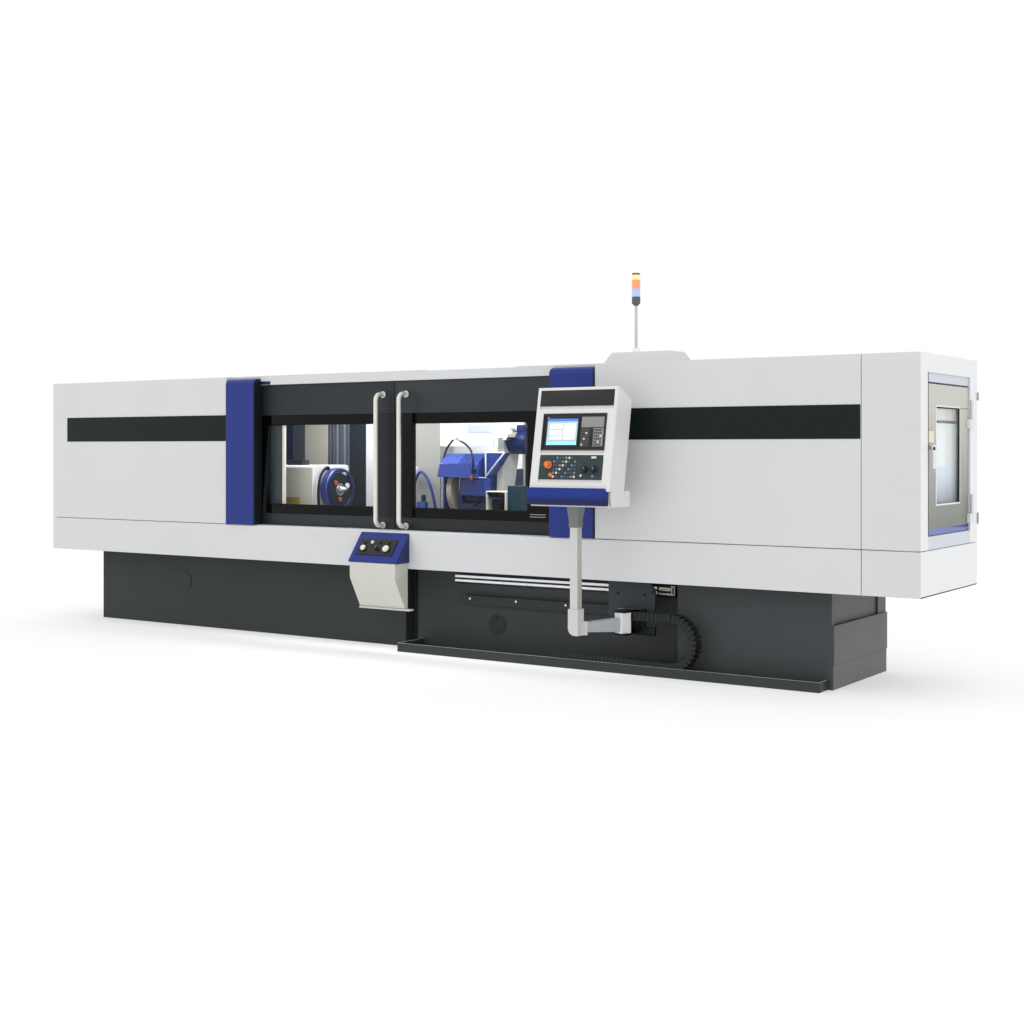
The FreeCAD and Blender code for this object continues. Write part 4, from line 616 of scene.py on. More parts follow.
machine_grey = painted("machine_grey", (0.42, 0.44, 0.46), gloss=(0.34, 0.5), clouding=0.1)
iron_dark = painted("iron_dark", (0.1, 0.105, 0.11), gloss=(0.4, 0.55), clouding=0.14, bump=0.15,
                    specular=0.35)
stone = painted("stone_grit", (0.5, 0.45, 0.38), gloss=(0.8, 0.95), clouding=0.2, grain=900.0, bump=0.9,
                dust=0.0)

# Bare and bright metal
bright_steel = ground("bright_steel", (0.84, 0.85, 0.86), (4, 260, 260))
steel_up = ground("steel_along_z", (0.78, 0.78, 0.76), (260, 260, 4), gloss=(0.16, 0.28))
# The rail bars are near-white and glow: a painted reflection of a bright room on the steel.
rail_painted_reflection = lit(painted("rail_painted_reflection", (0.84, 0.85, 0.85), gloss=(0.20, 0.30), grain=300.0, clouding=0.06,
                         dust=0.0), 0.28)
satin_tube = painted("satin_tube", (0.76, 0.745, 0.68), gloss=(0.24, 0.34), grain=300.0, clouding=0.08,
                     dust=0.0, metallic=0.25)
chrome = ground("chrome", (0.90, 0.90, 0.90), (200, 200, 200), gloss=(0.08, 0.16), lines=0.03, bump=0.02)

# Panes, lenses and screen
window_pane = pane("window_pane", (0.10, 0.12, 0.13), 0.05, (0.02, 0.06))
end_pane = pane("end_window_pane", (0.62, 0.66, 0.66), 0.14, (0.04, 0.10))
screen_glass = pane("screen_glass", (0.02, 0.03, 0.035), 0.06, (0.03, 0.06))
lens_amber = glowing("lens_amber", (0.95, 0.62, 0.30), 0.55)
lens_red = glowing("lens_red", (0.85, 0.32, 0.14), 0.25)
lens_blue = glowing("lens_pale_blue", (0.45, 0.58, 0.85), 0.12)
screen_blue = glowing("screen_blue", (0.06, 0.16, 0.55), 1.0)
screen_cyan = glowing("screen_cyan", (0.30, 0.72, 0.84), 0.8)
screen_light = glowing("screen_light", (0.88, 0.97, 1.0), 0.75)


def make_screen_face():
    """A lit screen with soft rows, drawn on Object coordinates, with no words."""
    material, tree, shader = start_material("screen_face", 0.0, 0.0)[:3]
    place = object_place(tree)
    rows = add(tree, "ShaderNodeTexWave", {"Vector": place, "Scale": 24}, wave_type="BANDS",
               bands_direction="Z")
    blobs = add(tree, "ShaderNodeTexNoise", {"Vector": place, "Scale": 90})
    product = add(tree, "ShaderNodeMath", {0: rows.outputs["Fac"], 1: blobs.outputs["Fac"]},
                  operation="MULTIPLY")
    ramp = add(tree, "ShaderNodeValToRGB", {"Fac": product.outputs[0]})
    first, last = ramp.color_ramp.elements
    first.color = (0.66, 0.89, 0.97, 1)
    first.position = 0.30
    last.color = (0.48, 0.76, 0.90, 1)
    last.position = 0.52
    feed(tree, shader, {"Base Color": (0.05, 0.06, 0.065, 1), "Emission Color": ramp.outputs["Color"],
                        "Emission Strength": 0.9, "Roughness": 0.25})
    return material


screen_face = make_screen_face()


# The shell

def make_shell():
    for node in ("left_cabinet", "right_cabinet", "end_module", "apron", "roof_panel", "rear_housing"):
        shell = copy_node(node, white_paint, soft=0.0022, flat=True)
        # Faces at the right end are painted lighter, as painted light.
        paint(shell, end_white_painted_light, lambda c, n: n.x > 0.7 and c.x > right_x - 0.012)
        if node == "end_module":
            pale_y0 = -0.536
            pale_y1 = 0.212
            pale_bands = ((0.804, 0.875), (1.702, 1.757))
            paint(shell, pale_blue_grey, lambda c, n: n.x > 0.7 and pale_y0 < c.y < pale_y1
                  and any(z0 < c.z < z1 for z0, z1 in pale_bands))
            # Faces past the right end are painted lighter too, as painted light.
            paint(shell, end_white_painted_light, lambda c, n: c.x > right_x + 0.001)
    copy_node("roof_covers", white_paint, soft=0.006, segments=4, flat=True)
    for node in ("left_column", "right_column"):
        column = copy_node(node, royal_blue, soft=0.003)
        paint(column, slate_deep, lambda c, n: abs(n.x) > 0.7)
    copy_node("trim_strips", strip_black, soft=0.0012)
    copy_node("inner_frame", iron_dark, soft=0.003, flat=True)
    for n, (low, high) in enumerate(((0.907, 0.973), (1.628, 1.675))):
        block("rear_tab_%d" % n, at(3.494, 1.006, low), at(3.508, 1.022, high), tab_grey_and_painted_highlight, "machine")
    low_x = -1.305
    block("header_end", at(low_x, 0.0575, 1.802), at(low_x + 0.095, 0.0605, 1.826), guard_deep, "machine",
          soft=0.001)


def make_base():
    for node in ("bed_left", "bed_right", "bed_rear"):
        # The right bed takes the lighter copy of the casting, as painted light.
        bed = copy_node(node, casting_right_painted_light if node == "bed_right" else casting_grey, soft=0.004, flat=True)
        # The beds' right end faces are painted lighter, as painted light.
        paint(bed, casting_end_painted_light, lambda c, n: n.x > 0.7 and c.x > centre_x + 2.9)
    copy_node("base_cover_plates", casting_grey, soft=0.0015)
    spot = at(0.584, 0.2945, 0.238)
    rod("cover_port", spot, spot - Vector((0, 0.002, 0)), 0.007, rubber_black, "machine", sides=20,
        soft=0.0004)
    tray = copy_node("drip_tray", tray_paint, soft=0.0025, flat=True)
    lip_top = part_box("drip_tray")[1][2]
    # The top of the tray's lip is painted a lighter grey: a painted highlight.
    paint(tray, tab_grey_and_painted_highlight, lambda c, n: n.z > 0.5 and c.z > lip_top - 0.004)
    bar = copy_node("guard_bar", guard_paint, soft=0.006, segments=4)
    screw_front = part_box("guard_bar")[0][1]
    paint(bar, bright_steel, lambda c, n: c.y < screw_front + 0.0055)


def make_rail():
    # The rail is dark navy round the bars, as painted shade.
    rail = copy_node("pendant_rail", rail_dark_painted_shade, soft=0.001, segments=2)
    low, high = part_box("pendant_rail")
    # The front faces of the bars glow near-white: painted reflection.
    paint(rail, rail_painted_reflection, lambda c, n: c.x < high[0] - 0.126 and c.y < high[1] - 0.0125)
    face = low[1]
    rod("rail_latch", (high[0] - 0.106, face - 0.010, 0.4975), (high[0] - 0.026, face - 0.010, 0.4975),
        0.0105, ivory_cap, "machine", sides=24, soft=0.003)
    block("rail_latch_plate", (high[0] - 0.116, face - 0.005, 0.462), (high[0] - 0.022, face, 0.474),
          ivory_cap, "machine", soft=0.0015)
    bars = [block("latch_frame", (high[0] + x0, face - 0.010, z0), (high[0] + x1, face, z1), cream_plate,
                  None, soft=0.0015) for z0, z1, x0, x1 in border(0.462, 0.518, -0.024, 0.0, 0.006)]
    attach(join(bars, "rail_latch_frame"), "machine")


# Doors

def make_doors():
    for side in ("left", "right"):
        node = "door_" + side
        low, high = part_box(node)
        glass_low, glass_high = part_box(node + "_window")
        body = body_of[node]
        # Each door's slate changes with height, as painted light and shade.
        door = copy_node(node, slate_left_painted_light if side == "left" else slate_right_painted_shade, soft=0.0015, segments=2)
        stile = 0.087
        black_left = low[0] if side == "left" else glass_low[0] - stile
        black_right = glass_high[0] if side == "left" else high[0]
        band_low = low[2] + 0.083
        band_high = high[2] - 0.217
        cut_plane(door, (black_left, 0, 0), (1, 0, 0))
        cut_plane(door, (black_right, 0, 0), (1, 0, 0))
        paint(door, black_gloss, lambda c, n: black_left < c.x < black_right and band_low < c.z < band_high
              and c.y < low[1] + 0.008)
        paint(door, slate_deep, lambda c, n: not black_left < c.x < black_right
              and band_low < c.z < band_high)
        copy_node(node + "_window", window_pane, soft=0.0008, segments=1)
        x0, y0, z0 = glass_low
        x1 = glass_high[0]
        z1 = glass_high[2]
        lip = 0.006
        gasket = [block("gasket", (a0, y0 - 0.003, b0), (a1, y0 - 0.0002, b1), rubber_black, None, soft=0.001)
                  for a0, a1, b0, b1 in ((x0, x1, z0, z0 + lip), (x0, x1, z1 - lip, z1),
                                         (x0, x0 + lip, z0, z1), (x1 - lip, x1, z0, z1))]
        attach(join(gasket, node + "_gasket"), body)
        handle = copy_node(node + "_handle", satin_tube, soft=0)
        smooth(handle, 50)
    z0 = 0.951
    z1 = 1.515
    block("door_stiffener", at(-1.248, 0.103, z0), at(-1.136, 0.115, z1), smoke_grey, "door_left")
    block("door_stiffener_edge", at(-1.134, 0.100, z0), at(-1.112, 0.118, z1), ivory_paint, "door_left")
    vent = [block("vent", at(0.982, 0.0815, z), at(1.100, 0.0841, z + 0.004), tube_paint, None, soft=0.001)
            for z in (0.915, 0.930)]
    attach(join(vent, "door_vent_lines"), "door_right")


# The end door

def make_end_door():
    x = right_x
    # The end door's grey darkens towards the bottom, as painted shade.
    door = copy_node("end_door", door_warm_grey_painted_shade, soft=0.002)
    edge_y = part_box("end_door")[0][1]
    glass_low, glass_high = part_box("end_door_window")
    leaf_x = x - 0.0095
    kick_top = 0.9130
    latch_edge = edge_y + 0.12
    hinge_edge = edge_y + 0.5
    paint(door, guard_light_and_painted_highlight, lambda c, n: c.z < kick_top and c.x < leaf_x)
    paint(door, cream_plate, lambda c, n: x - 0.0099 < c.x < x - 0.0065 and c.y < latch_edge
          and 1.37 < c.z < 1.45)
    # Outer faces of the end door towards the hinge are painted lighter, as painted light.
    paint(door, end_white_painted_light, lambda c, n: c.x > leaf_x and c.y > hinge_edge)
    copy_node("end_door_window", end_pane, soft=0)
    face = x - 0.010
    rim = 0.010
    shade = 0.020

    def bar(y0, y1, z0, z1, material):
        return block("frame", (face - 0.004, y0, z0), (face + 0.003, y1, z1), material, None, soft=0.002)

    # The end window's frame takes the lighter end paint, as painted light.
    frame_bars = [bar(*outline, end_white_painted_light)
                  for outline in border(glass_low[1] - rim, glass_high[1] + rim, glass_low[2] - rim,
                                        glass_high[2] + rim, rim)]
    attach(join(frame_bars, "end_window_frame"), "end_door")
    shade_bars = [bar(glass_high[1] - shade, glass_high[1], glass_low[2], glass_high[2], rubber_black),
                  bar(glass_low[1], glass_high[1] - shade, glass_high[2] - 0.007, glass_high[2],
                      rubber_black)]
    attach(join(shade_bars, "end_window_shade"), "end_door")
    # The liners behind the end window glow though they are no lamps: painted light, the lowest one also
    # darker towards the bottom.
    end_bluish_painted_glow = lit(graded("end_bluish_painted_glow", (0.10, 0.12, 0.16), (0.48, 0.53, 0.60), 1.015, 1.200), 0.6)
    levels = ((1.015, 1.245, end_bluish_painted_glow),
              (1.245, 1.488, glowing("end_bright_painted_glow", (0.56, 0.61, 0.60), 0.62)),
              (1.488, 1.504, guard_deep),
              (1.504, 1.610, glowing("end_beige_painted_glow", (0.42, 0.42, 0.37), 0.8)))
    for n, (z0, z1, material) in enumerate(levels):
        block("end_liner_%d" % n, (x - 0.052, glass_low[1] - 0.06, z0), (x - 0.042, glass_high[1] + 0.06, z1),
              material, "machine", soft=0.001)
    block("end_jamb_seal", (x - 0.001, edge_y - 0.013, 0.877), (x + 0.0009, edge_y - 0.0035, 1.756),
          dark_seam, "machine", soft=0.0005)
    block("latch_plate", (x - 0.0072, edge_y + 0.004, 1.380), (x - 0.0008, edge_y + 0.094, 1.442),
          cream_plate, "end_door", soft=0.001)
    block("end_skirt_rubber", (x - 0.024, front_y + 0.001, 0.5542), (x + 0.0006, rear_y - 0.001, 0.5605),
          dark_seam, "machine", soft=0.0005)
    block("end_header_seam", (x - 0.0102, edge_y - 0.004, 1.7015),
          (x - 0.0085, glass_high[1] + 0.168, 1.7065), dark_seam, "machine", soft=0.0005)
    copy_node("end_door_lever", chrome, soft=0.003)
    grip_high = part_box("end_door_lever")[1]
    spot = Vector((grip_high[0] - 0.010, middle("end_door_lever").y, grip_high[2] - 0.020))
    rod("lever_knob", spot, spot + Vector((0.010, 0, 0)), 0.012, knob_black, "end_lever", sides=28,
        soft=0.003)


# The signal tower

def make_tower():
    x, y = middle("signal_tower_post").xy
    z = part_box("signal_tower_post")[0][2]
    profile = [(0, 0), (0.030, 0), (0.030, 0.006), (0.023, 0.008), (0.022, 0.022), (0.016, 0.026),
               (0.0095, 0.032), (0.0095, 0.285), (0.015, 0.291), (0.0262, 0.300), (0.0262, 0.338),
               (0.024, 0.340), (0, 0.340)]
    post = lathe("tower_post", profile, (x, y, z), (0, 0, 1), post_paint, "machine")
    paint(post, iron_dark, lambda c, n: c.z > z + 0.286)
    paint(post, bright_steel, lambda c, n: c.z < z + 0.03)
    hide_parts("signal_tower_post")
    lens_low, lens_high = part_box("signal_tower_lenses")
    levels = ((lens_low[2], 0.052, lens_blue), (lens_low[2] + 0.052, 0.052, lens_red),
              (lens_low[2] + 0.104, 0.031, lens_amber))
    stack = []
    ribs = 5
    radius = 0.026
    groove = 0.0252
    rim = 0.0245
    for z0, height, material in levels:
        profile = [(0, 0.0004), (rim, 0.0004), (radius, 0.002)]
        step = (height - 0.004) / ribs
        for n in range(ribs):
            profile += [(radius, 0.002 + step * (n + 0.35)), (groove, 0.002 + step * (n + 0.5)),
                        (radius, 0.002 + step * (n + 0.65))]
        profile += [(radius, height - 0.002), (rim, height - 0.0004), (0, height - 0.0004)]
        stack.append(lathe("tower_lens_%d" % len(stack), profile, (x, y, z0), (0, 0, 1), material, "machine"))
    cap_height = 0.012
    lathe("tower_cap", [(0, 0), (radius, 0), (radius, 0.006), (0.022, 0.011), (0, cap_height)],
          (x, y, lens_high[2] - cap_height), (0, 0, 1), iron_dark, "machine")
    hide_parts("signal_tower_lenses")


# The pendant

# Its panels, with x from the left edge of the face, v up the face and w out of it
panel_x0 = 0.061
panel_x1 = face_width - 0.054
panel_back = -0.008
panel_front = -0.003
unit_v0 = 0.240
unit_v1 = 0.420


def face_piece(name, x0, x1, v0, v1, w0, w1, material, soft=0.0015, segments=2, body="pendant"):
    """A block on the pendant's face."""
    piece = block(name, (x0, -w1, v0), (x1, -w0, v1), material, None, soft, segments)
    tilt(piece, pendant_face)
    if body:
        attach(piece, body)
    return piece


def make_pendant():
    copy_node("pendant_housing", pendant_white, soft=0.004, segments=3)
    header = face_piece("header_panel", 0.028, face_width - 0.017, 0.484, 0.579, panel_back, -0.002,
                        panel_black)
    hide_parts("pendant_panels")
    copy_node("wrist_rest", wrist_vinyl, soft=0.009, segments=5)
    x = wrist_high[0]
    y = housing_low[1] + 0.0295
    pipe("shelf_line", [(x + 0.002, y, 1.099), (x + 0.004, y, 1.060), (x + 0.010, y, 1.030),
                        (x + 0.0165, y, 1.012)], 0.0014, rubber_black, "pendant")


def make_screen_panel():
    v0 = 0.221
    v1 = 0.439
    rim = 0.005
    face_piece("screen_panel", panel_x0, panel_x1, v0, v1, panel_back, panel_front, panel_black)
    left_line = (panel_x0 + 0.012, panel_x0 + 0.0145, v0 + rim, v1 - rim)
    rims = [face_piece("rim", *bar, panel_front, 0.001, key_dark, soft=0.001, body=None)
            for bar in (*border(panel_x0, panel_x1, v0, v1, rim), left_line)]
    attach(join(rims, "screen_panel_rim"), "pendant")


def make_screen():
    x0 = 0.083
    x1 = 0.315
    edge = 0.012
    bezel = [face_piece("bezel", *bar, panel_front, 0.003, knob_black, soft=0.003, body=None)
             for bar in border(x0, x1, unit_v0, unit_v1, edge)]
    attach(join(bezel, "screen_bezel"), "pendant")
    face_piece("screen_led", x0 + 0.014, x0 + 0.022, unit_v1 - 0.009, unit_v1 - 0.004, 0.0028, 0.0036,
               ivory_cap, soft=0.0004, segments=1)
    x0 += edge - 0.002
    x1 -= edge - 0.002
    v0 = unit_v0 + edge - 0.002
    v1 = unit_v1 - edge + 0.002
    back = -0.0018
    front = -0.0014
    face_piece("screen_image", x0, x1, v0, v1, panel_front, back, screen_face, soft=0.0004, segments=1)
    face_piece("screen_title_band", x0, x1, v1 - 0.018, v1 - 0.002, back, front, screen_blue, soft=0)
    face_piece("screen_key_band", x0, x1, v0 + 0.002, v0 + 0.020, back, front, screen_cyan, soft=0)
    fields = [face_piece("field", x0 + a0, x0 + a1, v0 + b0, v0 + b1, back, front, screen_light, soft=0,
                         body=None)
              for a0, a1, b0, b1 in ((0.020, 0.105, 0.098, 0.128), (0.020, 0.105, 0.060, 0.090),
                                     (0.115, 0.195, 0.036, 0.128), (0.020, 0.105, 0.036, 0.052))]
    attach(join(fields, "screen_fields"), "pendant")
    face_piece("screen_cover", x0 + 0.001, x1 - 0.001, v0 + 0.001, v1 - 0.001, -0.0012, -0.0004,
               screen_glass, soft=0.0003, segments=1)


def make_key_unit():
    """The unit beside the screen, with two blocks of small keys."""
    x0 = 0.326
    x1 = 0.482
    low = unit_v0 + 0.004
    top = unit_v1 - 0.070
    face_piece("key_unit", x0, x1, unit_v0, unit_v1, panel_front, 0.0, key_dark)
    face_piece("key_unit_top", x0 + 0.003, x1 - 0.003, unit_v1 - 0.064, unit_v1 - 0.003, 0.0, 0.0015,
               key_grey, soft=0.001)
    face_piece("key_unit_gap", x0 + 0.062, x0 + 0.084, low, top, 0.0, 0.0006, knob_black, soft=0.0003)
    face_piece("key_unit_right", x0 + 0.086, x1 - 0.003, low, top, 0.0, 0.0006, key_grey, soft=0.0003)
    keys = {"unit_keys_dark": [], "unit_keys_light": []}
    for row in range(6):
        for column in range(8):
            x = x0 + (0.008 if column < 4 else 0.035) + column * 0.0136
            v = unit_v0 + 0.008 + row * 0.0170
            light = (row * 3 + column * 5) % 11 == 0
            keys["unit_keys_light" if light else "unit_keys_dark"].append(
                face_piece("key", x, x + 0.0105, v, v + 0.0115, 0.0, 0.0028, key_white if light else key_mid,
                           soft=0.001, segments=1, body=None))
    for name, items in keys.items():
        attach(join(items, name), "pendant")


def make_operator_panel():
    x0 = panel_x0
    low = 0.049
    face_piece("operator_panel", x0, panel_x1, low, low + 0.146, panel_back, panel_front, panel_teal)
    finishes = (key_white, key_mid, key_blue, key_mid, key_grey, key_mid, key_dark)
    keys = []
    for row in range(6):
        for column in range(8):
            x = x0 + 0.096 + column * 0.0205
            v = low + 0.010 + row * 0.0222
            finish = finishes[(row * 4 + column * 3) % 7]
            keys.append(face_piece("key", x, x + 0.0130, v, v + 0.0125, panel_front, 0.0005, finish,
                                   soft=0.0012, segments=1, body=None))
    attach(join(keys, "operator_keys"), "pendant")
    for name, a0, a1, b0, b1, lift, finish in (
            ("operator_strip", 0.352, 0.385, 0.124, 0.136, 0.0005, key_white),
            ("operator_light_0", 0.285, 0.297, 0.018, 0.030, 0.0008, ivory_cap),
            ("operator_light_1", 0.362, 0.378, 0.014, 0.026, 0.0008, key_blue),
            ("operator_plate", 0.042, 0.084, 0.068, 0.076, 0.0004, orange_button)):
        face_piece(name, x0 + a0, x0 + a1, low + b0, low + b1, panel_front, lift, finish, soft=0.001)


# Controls on the two sloping faces

def turned(name, profile, face, x, back, v, material, body):
    """A turned part that stands out from a sloping face."""
    piece = lathe(name, profile, (x, back, v), (0, -1, 0), material, None)
    tilt(piece, face)
    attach(piece, body)
    return piece


def marked_knob(name, node, face, profile, back, mark, steps=40):
    """A rotary knob with a white mark, in the place of its CAD piece."""
    spot = untilt(middle(node), face)
    half, front, rear, low, high = mark
    knob = lathe(name, profile, (spot.x, back, spot.z), (0, -1, 0), knob_black, None, steps)
    line = block("mark", (spot.x - half, front, spot.z + low), (spot.x + half, rear, spot.z + high),
                 key_white, None, soft=0.0003, segments=1)
    whole = join([knob, line], name)
    tilt(whole, face)
    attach(whole, body_of[node])
    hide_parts(node)
    return spot


def make_pendant_controls():
    red_profile = [(0, 0.0), (0.012, 0.0), (0.012, 0.006), (0.010, 0.008), (0.010, 0.012),
                   (0.008, 0.0135), (0, 0.014)]
    turned("red_push_button", red_profile, pendant_face, panel_x0 + 0.086, 0.003, 0.075, orange_button,
           "pendant")
    spot = untilt(middle("estop_button"), pendant_face)
    mushroom = [(0, 0.0003), (0.005, 0.0003), (0.005, 0.0050), (0.012, 0.0055), (0.0165, 0.009),
                (0.018, 0.013), (0.018, 0.018), (0.0165, 0.0225), (0.0125, 0.0255), (0, 0.0268)]
    button = turned("stop_mushroom", mushroom, pendant_face, spot.x, -0.0022, spot.z, orange_button, "estop")
    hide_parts("estop_button")
    collar = [(0.0055, 0), (0.023, 0), (0.023, 0.003), (0.020, 0.005), (0.0055, 0.005), (0.0055, 0)]
    turned("stop_collar", collar, pendant_face, spot.x, 0.003, spot.z, orange_button, "pendant")
    grip = [(0, 0), (0.021, 0), (0.021, 0.003), (0.0185, 0.006), (0.0175, 0.018), (0.0160, 0.0212),
            (0, 0.022)]
    ring = [(0.0215, 0), (0.0275, 0), (0.0265, 0.0060), (0.0215, 0.0062), (0.0215, 0)]
    for node in ("feed_knob", "spindle_knob"):
        spot = marked_knob(node + "_grip", node, pendant_face, grip, 0.0026,
                           (0.0011, -0.0200, -0.0193, 0.002, 0.011), steps=36)
        turned(node + "_dial", ring, pendant_face, spot.x, 0.003, spot.z, key_dark, "pendant")


# The arm, the carriage and the chain

def make_arm():
    arm = copy_node("pendant_arm", tube_paint, soft=0.003)
    turn = math.radians(-115.8)
    pivot = at(1.693, 0.010, 0)
    along = Vector((math.cos(turn), math.sin(turn), 0))
    box_reach = 0.0385
    paint(arm, pendant_white, lambda c, n: (c - pivot).dot(along) < box_reach)
    post = copy_node("pendant_post", post_paint, soft=0.003)
    elbow_top = 0.412
    # The post's right faces above the elbow are painted darker: painted shade.
    paint(post, post_side_painted_shade, lambda c, n: n.x > 0.6 and c.z > elbow_top)
    copy_node("pendant_socket", socket_paint, soft=0.002)


def make_carriage():
    carriage = copy_node("pendant_carriage", carriage_paint, soft=0.0025)
    plate_y = front_y + 0.120
    screws_low = 0.455
    ledge_top = 0.384
    paint(carriage, rubber_black, lambda c, n: plate_y - 0.006 < c.y < plate_y - 0.0002 and c.z > screws_low)
    paint(carriage, strip_black, lambda c, n: c.y < plate_y + 0.0005 and c.z < ledge_top)
    x0 = centre_x + 1.530
    x1 = x0 + 0.320
    block("carriage_ledge", (x0 + 0.078, plate_y - 0.018, 0.358), (x0 + 0.233, plate_y, ledge_top),
          ledge_paint, "carriage", soft=0.003)
    knob = Vector((x1 - 0.012, plate_y, 0.490))
    rod("carriage_knob", knob, knob - Vector((0, 0.012, 0)), 0.010, knob_black, "carriage", sides=28,
        soft=0.002)


def make_chain():
    low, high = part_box("chain_lower_run")
    upper_low, upper_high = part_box("chain_upper_run")
    fixed_x = low[0]
    bend_x = upper_high[0]
    moving_x = upper_low[0]
    z_low = (low[2] + high[2]) / 2
    z_high = (upper_low[2] + upper_high[2]) / 2
    radius = (z_high - z_low) / 2
    y0 = low[1]
    y1 = high[1]
    half = 0.49 * (high[2] - low[2])

    def link_parts(length):
        """One chain link about its own middle: two waisted side plates and two cross bars."""
        thickness = 0.010
        bar = 0.004
        overlap = 0.001
        plates = []
        outline = [(-length * 0.56, -half * 0.62), (-length * 0.40, -half), (length * 0.40, -half),
                   (length * 0.40, half), (-length * 0.40, half), (-length * 0.56, half * 0.62)]
        for y in (y0, y1 - thickness):
            plates.append(prism("plate", outline, "Y", y, y + thickness, chain_black, None, soft=0.0012,
                                segments=1))
        for z in (-half, half - bar):
            plates.append(block("bar", (-length * 0.30, y0 + thickness - overlap, z),
                                (length * 0.30, y1 - thickness + overlap, z + bar), chain_black, None,
                                soft=0.001, segments=1))
        return join(plates, "chain_link")

    def straight(name, x0, x1, z):
        """A straight run of links from x0 to x1."""
        pitch = 0.0265
        count = max(1, round((x1 - x0) / pitch))
        step = (x1 - x0) / count
        link = link_parts(step)
        link.data.transform(Matrix.Translation((x0 + step / 2, 0, z)))
        copies = link.modifiers.new("links", "ARRAY")
        copies.count = count
        copies.use_relative_offset = False
        copies.use_constant_offset = True
        copies.constant_offset_displace = (step, 0, 0)
        apply_modifiers(link)
        link.name = name
        return link

    lower = straight("chain_links_low", fixed_x, bend_x, z_low)
    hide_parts("chain_lower_run")
    upper = straight("chain_links_high", moving_x, bend_x, z_high)
    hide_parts("chain_upper_run")
    turns = []
    count = 16
    for n in range(count):
        link = link_parts(math.pi * radius / count * 0.98)
        angle = math.pi * (n + 0.5) / count
        place = (Matrix.Translation((bend_x, 0, (z_low + z_high) / 2)) @ Matrix.Rotation(-angle, 4, "Y")
                 @ Matrix.Translation((0, 0, -radius)))
        link.data.transform(place)
        turns.append(link)
    bend = join(turns, "chain_links_bend")
    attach(bend, "chain_loop")
    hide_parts("chain_bend")
    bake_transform(lower)
    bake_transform(upper)


# The operator station

def make_station():
    copy_node("station_body", warm_white, soft=0.004)
    top = copy_node("station_top", royal_blue, soft=0.004)
    panel_left = 0.036
    panel_right = station_high[0] - station_low[0] - 0.060
    panel_low = 0.040
    panel_high = 0.184

    def raised(c):
        """Whether a place is on the raised panel of the top."""
        flat = untilt(c, station_face)
        return (flat.y < -0.0012 and panel_left < flat.x < panel_right
                and panel_low < flat.z < panel_high)

    paint(top, guard_deep, lambda c, n: n.x > 0.7)
    paint(top, panel_black, lambda c, n: raised(c))
    for node in ("station_start_button", "station_stop_button"):
        spot = untilt(middle(node), station_face)
        low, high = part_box(node)
        reach = (high[0] - low[0]) / 2
        profile = [(0, 0), (reach, 0), (reach, 0.009), (reach - 0.0015, 0.0125), (reach - 0.005, 0.014),
                   (0, 0.0132)]
        cap = turned(node + "_cap", profile, station_face, spot.x, -0.0113, spot.z, ivory_cap, body_of[node])
        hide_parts(node)
    profile = [(0, 0), (0.015, 0), (0.015, 0.004), (0.012, 0.007), (0.0115, 0.020), (0.010, 0.022),
               (0, 0.022)]
    marked_knob("station_selector", "station_knob", station_face, profile, -0.0063,
                (0.0012, -0.0287, -0.0281, 0, 0.0095))
    profile = [(0, 0), (0.0125, 0), (0.0125, 0.003), (0.0095, 0.004), (0.009, 0.009), (0.006, 0.011),
               (0, 0.0115)]
    for n, share in enumerate((0.14, 0.34, 0.56, 0.80)):
        turned("station_lamp_%d" % n, profile, station_face, 0.038 + 0.307 * share, -0.006, 0.146,
               key_white if n == 1 else knob_black, "machine")


# The working chamber

def make_chamber():
    copy_node("slide_ways", bright_steel, soft=0.001, segments=1)
    copy_node("work_table", iron_dark, soft=0.003, flat=True)
    head = copy_node("headstock", ivory_paint, soft=0.006)
    # The headstock's right end and top are painted whiter than its ivory front: painted light and shade.
    paint(head, liner_white, lambda c, n: n.x > 0.7 or n.z > 0.7)
    plate = copy_node("face_plate", steel_up, soft=0.002)
    spindle = at(0, 0.5, 1.05)
    paint(plate, guard_blue, lambda c, n: abs(n.x) < 0.5 and (c - spindle).yz.length > 0.14)
    copy_node("tailstock", machine_grey, soft=0.006)
    copy_node("tailstock_quill", bright_steel, soft=0.001)
    copy_node("cross_slide", machine_grey, soft=0.005)
    wheelhead = copy_node("wheelhead", machine_grey, soft=0.006)
    paint(wheelhead, guard_deep, lambda c, n: c.y < front_y + 1.175)
    copy_node("grinding_wheel", stone, soft=0.002)
    guard = copy_node("wheel_guard", guard_blue, soft=0.003)
    # Upward, forward facets on the left of the wheel guard are painted lighter: a painted highlight.
    paint(guard, guard_light_and_painted_highlight, lambda c, n: n.z > 0.3 and n.y < -0.1 and c.x < centre_x - 0.02)
    motor = copy_node("wheel_motor", guard_deep, soft=0.004)
    paint(motor, drive_teal, lambda c, n: c.z < 1.1)
    cover = copy_node("belt_cover", cover_grey, soft=0.008)
    paint(cover, ivory_paint, lambda c, n: c.y < front_y + 0.826)
    paint(cover, liner_dark, lambda c, n: n.y < -0.7 and front_y + 0.72 < c.y < front_y + 0.80)
    arm = copy_node("coolant_arm", ivory_paint, soft=0.002)
    paint(arm, rubber_black, lambda c, n: c.z < 1.405 and c.x < centre_x + 0.16)
    paint(arm, guard_deep, lambda c, n: n.z < -0.5 and 1.41 < c.z < 1.43 and c.x > centre_x - 0.06)


def wall(name, x0, x1, y, z0, z1, material):
    """A static liner sheet that faces the windows."""
    return block(name, at(x0, y, z0), at(x1, y + 0.012, z1), material, "machine", soft=0.001, segments=1)


